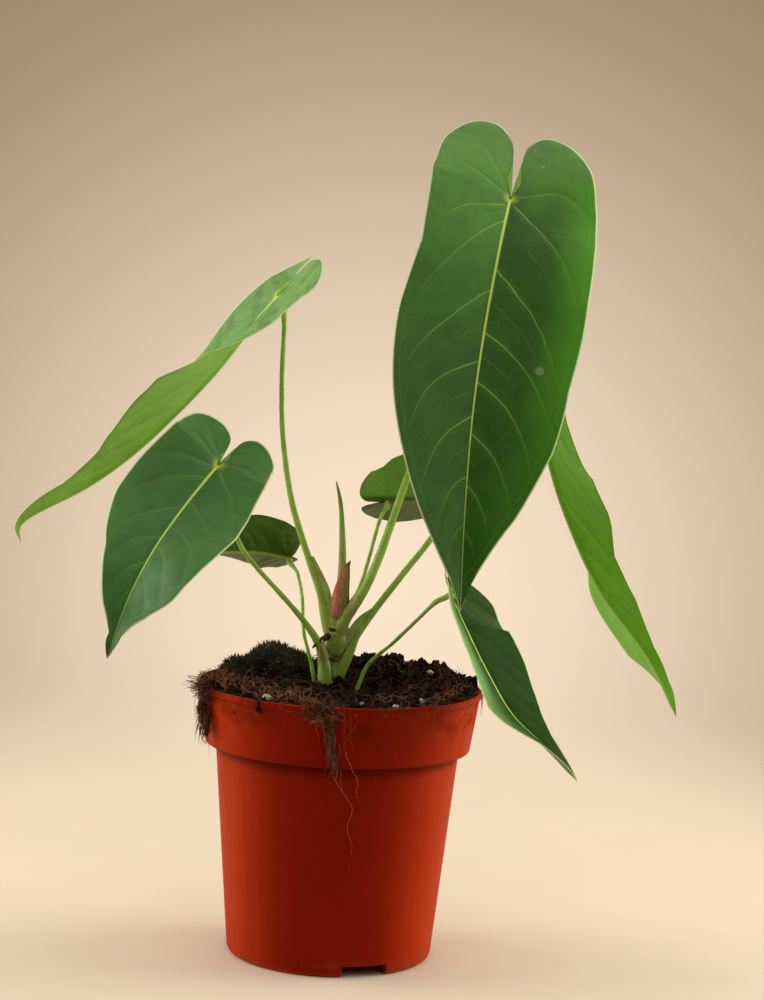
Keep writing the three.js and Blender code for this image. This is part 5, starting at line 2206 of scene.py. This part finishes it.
def build_veins():
    group, given, result = start_group("leaf veins", {"Width": 0.00045, "Net scale": 230}, VEIN_MASKS)
    flat = value_from(group, "UVMap", "UV")
    gap = read_value(group, "vein_gap")
    midrib = read_value(group, "from_midrib")
    margin = read_value(group, "from_margin")
    along = read_value(group, "along")
    count = read_value(group, "vein_count") + (cloud(flat, 55, 2) - 0.5) * 0.12
    inner = margin / (margin + midrib + 0.0001)
    joint = vector("LENGTH", flat)
    width = given["Width"] * (inner + 0.3) + ease(joint, 0, 0.022, 0.0004, 0)

    def line_mask(value, reach):
        away = abs(value - round(value)) * gap / reach
        return ease(away, 0.35, 1, 1, 0)

    fade = ease(margin, 0.0012, 0.012, 0.25, 1) * ease(along, 0.55, 0.9, 1, 0.25)
    fade = fade * ease(inner, 0, 0.9, 0.45, 1) * read_value(group, "clear")
    patchy = ease(cloud(flat, 75, 2), 0.42, 0.58, 0.1, 1)
    fine = line_mask(count + 0.5, width * 0.6) * fade * patchy
    ring = abs(margin - (cloud(flat, 90, 2) * 0.003 + 0.0015))
    uneven = value_from(group, "TexNoise", "Color", {"Vector": flat, "Scale": 120})
    inputs = {
        "Vector": vector("ADD", flat, vector("MULTIPLY", uneven, (0.003, 0.003, 0))),
        "Scale": given["Net scale"],
    }
    settings = {"feature": "DISTANCE_TO_EDGE", "voronoi_dimensions": "2D"}
    cells = value_from(group, "TexVoronoi", "Distance", inputs, **settings)
    masks = {
        "Midrib": ease(midrib / ease(along, 0, 1, 0.00075, 0.00025), 0.45, 1, 1, 0),
        "Veins": line_mask(count, width) * fade,
        "Fine veins": larger(fine, ease(ring, 0, 0.0004, 0.4, 0)),
        "Net": ease(cells, 0, 0.11, 1, 0) * ease(cloud(flat, 110, 2), 0.4, 0.62),
        "Star": ease(joint, 0.0004, 0.013, 1, 0),
    }
    for name, mask in masks.items():
        feed(mask, result, name)
    return group


vein_group = build_veins()


def leaf_masks(tree, width):
    """The vein masks by name, with side veins of a given width in metres"""
    made = add_node(tree, "Group", node_tree=vein_group)
    made.inputs["Width"].default_value = width
    made.inputs["Net scale"].default_value = NET_SCALE
    return {name: Value(made.outputs[name]) for name in VEIN_MASKS}


# %% [markdown]
# ## Leaf colours
#
# The upper face is a velvety dark green: a soft sheen, little gloss, pale veins with a lighter band
# beside them, and a bright star where the stalk joins. Light that shines through the blade turns
# one side of some leaves yellow-green; this is painted light, laid in by the place on the flat leaf
# and the distance from the margin. The half towards the light and its lobe are painted lighter and
# greyer, as painted light and sheen. The lower face is a plain lighter green with raised veins; its
# green holds painted light where light comes through, and one leaf has painted shade low down. The
# margin is a hair-thin pale or reddish line.


# %% Leaf materials
def leaf_face(name, look, pale):
    """look is one leaf's own colours and strengths, pale is True for a pale margin"""
    velvety = look["velvety"]
    shown = look["shown"]
    lit_half = look["lit_half"]
    glow = look["glow"]
    skin = Skin(
        f"leaf face {name}", IOR=1.42, Specular_IOR_Level=0.12 + 0.23 * velvety,
        Sheen_Weight=0.12 * velvety, Sheen_Roughness=0.4, Sheen_Tint=colour(206, 226, 160),
    )
    flat = value_from(skin.tree, "UVMap", "UV")
    x, y = part(flat, "X"), part(flat, "Y")
    along = read_value(skin.tree, "along")
    from_margin = read_value(skin.tree, "from_margin")
    masks = leaf_masks(skin.tree, 0.00036)
    beside = leaf_masks(skin.tree, 0.0024)
    patches = mottle(flat, 26)
    # Painted light and sheen: lit is a lighter, greyer green, most near the stalk, laid on the half towards the light
    upper = mix(patches, (63, 120, 43), (89, 147, 59))
    lower = mix(patches, (46, 89, 33), (64, 111, 45))
    lit = mix(ease(y, 0.02, 0.1), upper, lower)
    lit_side = larger(ease(x, -0.002, 0.002), ease(y, 0.012, -0.034))
    open_margin = ease(abs(x), 0.003, 0.008)
    uneven_margin = from_margin + (cloud(flat, 70, 4) - 0.5) * 0.8 * 0.012
    # Painted light: light that shines through the blade near the margin of one half
    towards_side = ease(x * look["glow_side"], 0.002, 0.018)
    through = ease(uneven_margin, 0.021, 0.001) * towards_side * open_margin
    through = through * ease(y, -0.036, -0.006, 0.1, 1) * ease(along, 0.4, 0.8, 1, 0.3)
    # Painted light where the lobe catches the light
    lobe = ease(y, 0.022, -0.03) * ease(x, 0.003, 0.022)
    star = masks["Star"] * masks["Star"]
    bright_vein = mix(star, VEIN_GREEN, (206, 232, 96))
    rib_tone = mix(masks["Star"], (204, 236, 108), (216, 242, 96))
    tone = layered(
        mix(patches, look["deep"], look["bright"]),
        (lit_side * lit_half, lit),
        (through, glow),
        (lobe * (0.3 * lit_half), (90, 148, 56)),
        (ease(cloud(flat, 90, 3, 0.6), 0.44, 0.6, 0, look["blotches"]), (66, 108, 56)),
        (beside["Veins"] * (0.16 * shown), glow),
        (masks["Net"] * (0.18 * shown), glow),
        (masks["Fine veins"] * (0.22 * shown), VEIN_GREEN),
        (masks["Veins"] * (0.62 * shown), bright_vein),
        (masks["Veins"] * star * 0.8, bright_vein),
        (masks["Midrib"], mix(ease(along, 0.45, 0.95), rib_tone, (146, 172, 108))),
        (masks["Star"] ** 14 * 0.8, (206, 226, 84)),
    )
    for spot_x, spot_y, size in look["spots"]:
        away = vector("DISTANCE", flat, (spot_x * MM, spot_y * MM, 0))
        tone = mix(ease(away, size * MM * 0.6, size * MM, 0.45, 0), tone, (148, 172, 132))
    tone = layered(
        tone,
        (ease(along, 0.9, 0.97, 0, look["dark_tip"]), (48, 60, 46)),
        (ease(from_margin, 0.0003, 0.0008, 0.9, 0) * open_margin, MARGIN_TONES[pale]),
    )
    height = cloud(flat, 2600, 2) * 0.12 - masks["Net"] * 0.3
    height = height - masks["Fine veins"] * 0.4 - masks["Veins"] * 0.4
    rough = ease(cloud(flat, 60), 0.3, 0.7, 0.46, 0.6)
    return skin.finish(tone, height, 0.00014, 0.8, rough)


def leaf_back(name, look):
    """The lower face. A little of the light that falls on the upper face comes through, which is painted light in each
    leaf's back green.
    """
    skin = Skin(f"leaf back {name}", IOR=1.42, Specular_IOR_Level=0.3)
    flat = value_from(skin.tree, "UVMap", "UV")
    masks = leaf_masks(skin.tree, 0.0005)
    shown = look["back_shown"]
    shaded_below = look["shaded_below"]
    # Painted shade: the lower face is darker below the height shaded_below
    low_half = ease(part(skin.place, "Z"), shaded_below, shaded_below - 0.002, 0, 0.85)
    green = colour(*look["back"])
    lighter = tuple(min(1, value * 1.35) for value in green[:3]) + (1,)
    tone = layered(
        value_from(
            skin.tree, "MixRGB", "Color", {"Fac": mottle(flat, 30), "Color1": green, "Color2": lighter}
        ),
        (masks["Net"] * 0.14, BACK_VEIN_GREEN),
        (masks["Fine veins"] * (0.14 * shown), BACK_VEIN_GREEN),
        (masks["Veins"] * (0.3 * shown), BACK_VEIN_GREEN),
        (masks["Midrib"] * 0.85, BACK_VEIN_GREEN),
        (low_half, (62, 84, 36)),
    )
    height = masks["Veins"] * 0.5 + masks["Net"] * 0.3 + cloud(flat, 1500, 2) * 0.1
    height = height * ease(read_value(skin.tree, "along"), 0.6, 0.85, 1, 0)
    return skin.finish(tone, height, 0.0002, 0.8, ease(cloud(flat, 80), 0.3, 0.7, 0.42, 0.56))


def leaf_margin(name, light, dark):
    skin = Skin(f"leaf margin {name}", Roughness=0.5)
    return skin.finish(mix(mottle(skin.place, 120), light, dark))


# %% Colours of each leaf
VEIN_GREEN = (150, 188, 92)
BACK_VEIN_GREEN = (160, 194, 92)
MARGIN_TONES = {True: (214, 232, 176), False: (98, 84, 50)}
# shown is how clearly side veins show, lit_half how much painted light and sheen lighten and grey the half towards the
# light
USUAL_LOOK = {
    "glow_side": 0.2, "shown": 0.4, "spots": (), "lit_half": 0, "blotches": 0.1, "velvety": 1,
    "dark_tip": 0, "back_shown": 1, "shaded_below": 0,
}
# The greens differ from leaf to leaf partly by each leaf's own colour and partly as painted light and shade; the
# bright lime backs are painted light shining through
LOOKS = {
    "front": {
        "deep": (33, 80, 5), "bright": (44, 97, 9), "glow": (72, 148, 14), "back": (104, 148, 52),
        "glow_side": -1, "shown": 1, "spots": [(-24, 86, 2.2), (-11, -26, 1)], "lit_half": 1,
        "velvety": 0.75,
    },
    "left_high": {
        "deep": (90, 142, 64), "bright": (116, 170, 82), "glow": (126, 176, 80), "back": (122, 180, 66),
        "shown": 0.35, "blotches": 0.5,
    },
    "left_low": {
        "deep": (48, 98, 40), "bright": (66, 126, 52), "glow": (96, 150, 72), "back": (104, 148, 56),
        "glow_side": 0.3, "shown": 0.3, "velvety": 1.5, "dark_tip": 0.6,
    },
    "left_back": {
        "deep": (52, 78, 36), "bright": (70, 98, 48), "glow": (86, 112, 50), "back": (66, 100, 32),
        "back_shown": 0.2,
    },
    "right_back": {
        "deep": (62, 104, 42), "bright": (80, 126, 52), "glow": (108, 154, 60), "back": (110, 160, 64),
        "shaded_below": 0.1935,
    },
    "right_low": {
        "deep": (31, 64, 10), "bright": (40, 77, 13), "glow": (124, 172, 92), "back": (104, 146, 62),
        "glow_side": 1, "shown": 0.03, "spots": [(5, 40, 1)], "velvety": 0,
    },
    "right_high": {
        "deep": (70, 112, 40), "bright": (92, 138, 52), "glow": (128, 172, 56), "back": (97, 170, 34),
    },
}
PALE_EDGE = ("front", "right_high", "left_low", "left_high", "right_low")
margins = {
    True: leaf_margin("pale", (226, 240, 190), (200, 222, 150)),
    False: leaf_margin("reddish", (112, 84, 56), (74, 62, 40)),
}
for name in LEAVES:
    look = {**USUAL_LOOK, **LOOKS[name]}
    pale = name in PALE_EDGE
    blade = make_blade(name)
    for material in (leaf_face(name, look, pale), leaf_back(name, look), margins[pale]):
        blade.data.materials.append(material)
    thicken(blade)
    keep_in_box(blade)
    hand_in(blade, "blade", [], [f"blade_{name}"])

# %% [markdown]
# ## The size of the dressed plant
#
# The dressed plant must not outgrow its solids, so both boxes are written down.

# %% Sizes
visual_box = [list(corner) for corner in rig.bounds()]
with open("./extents.json", "w") as out:
    json.dump({"cad_box": cad_box, "visual_box": visual_box}, out)
print("solids' box:", cad_box)
print("dressed box:", visual_box)
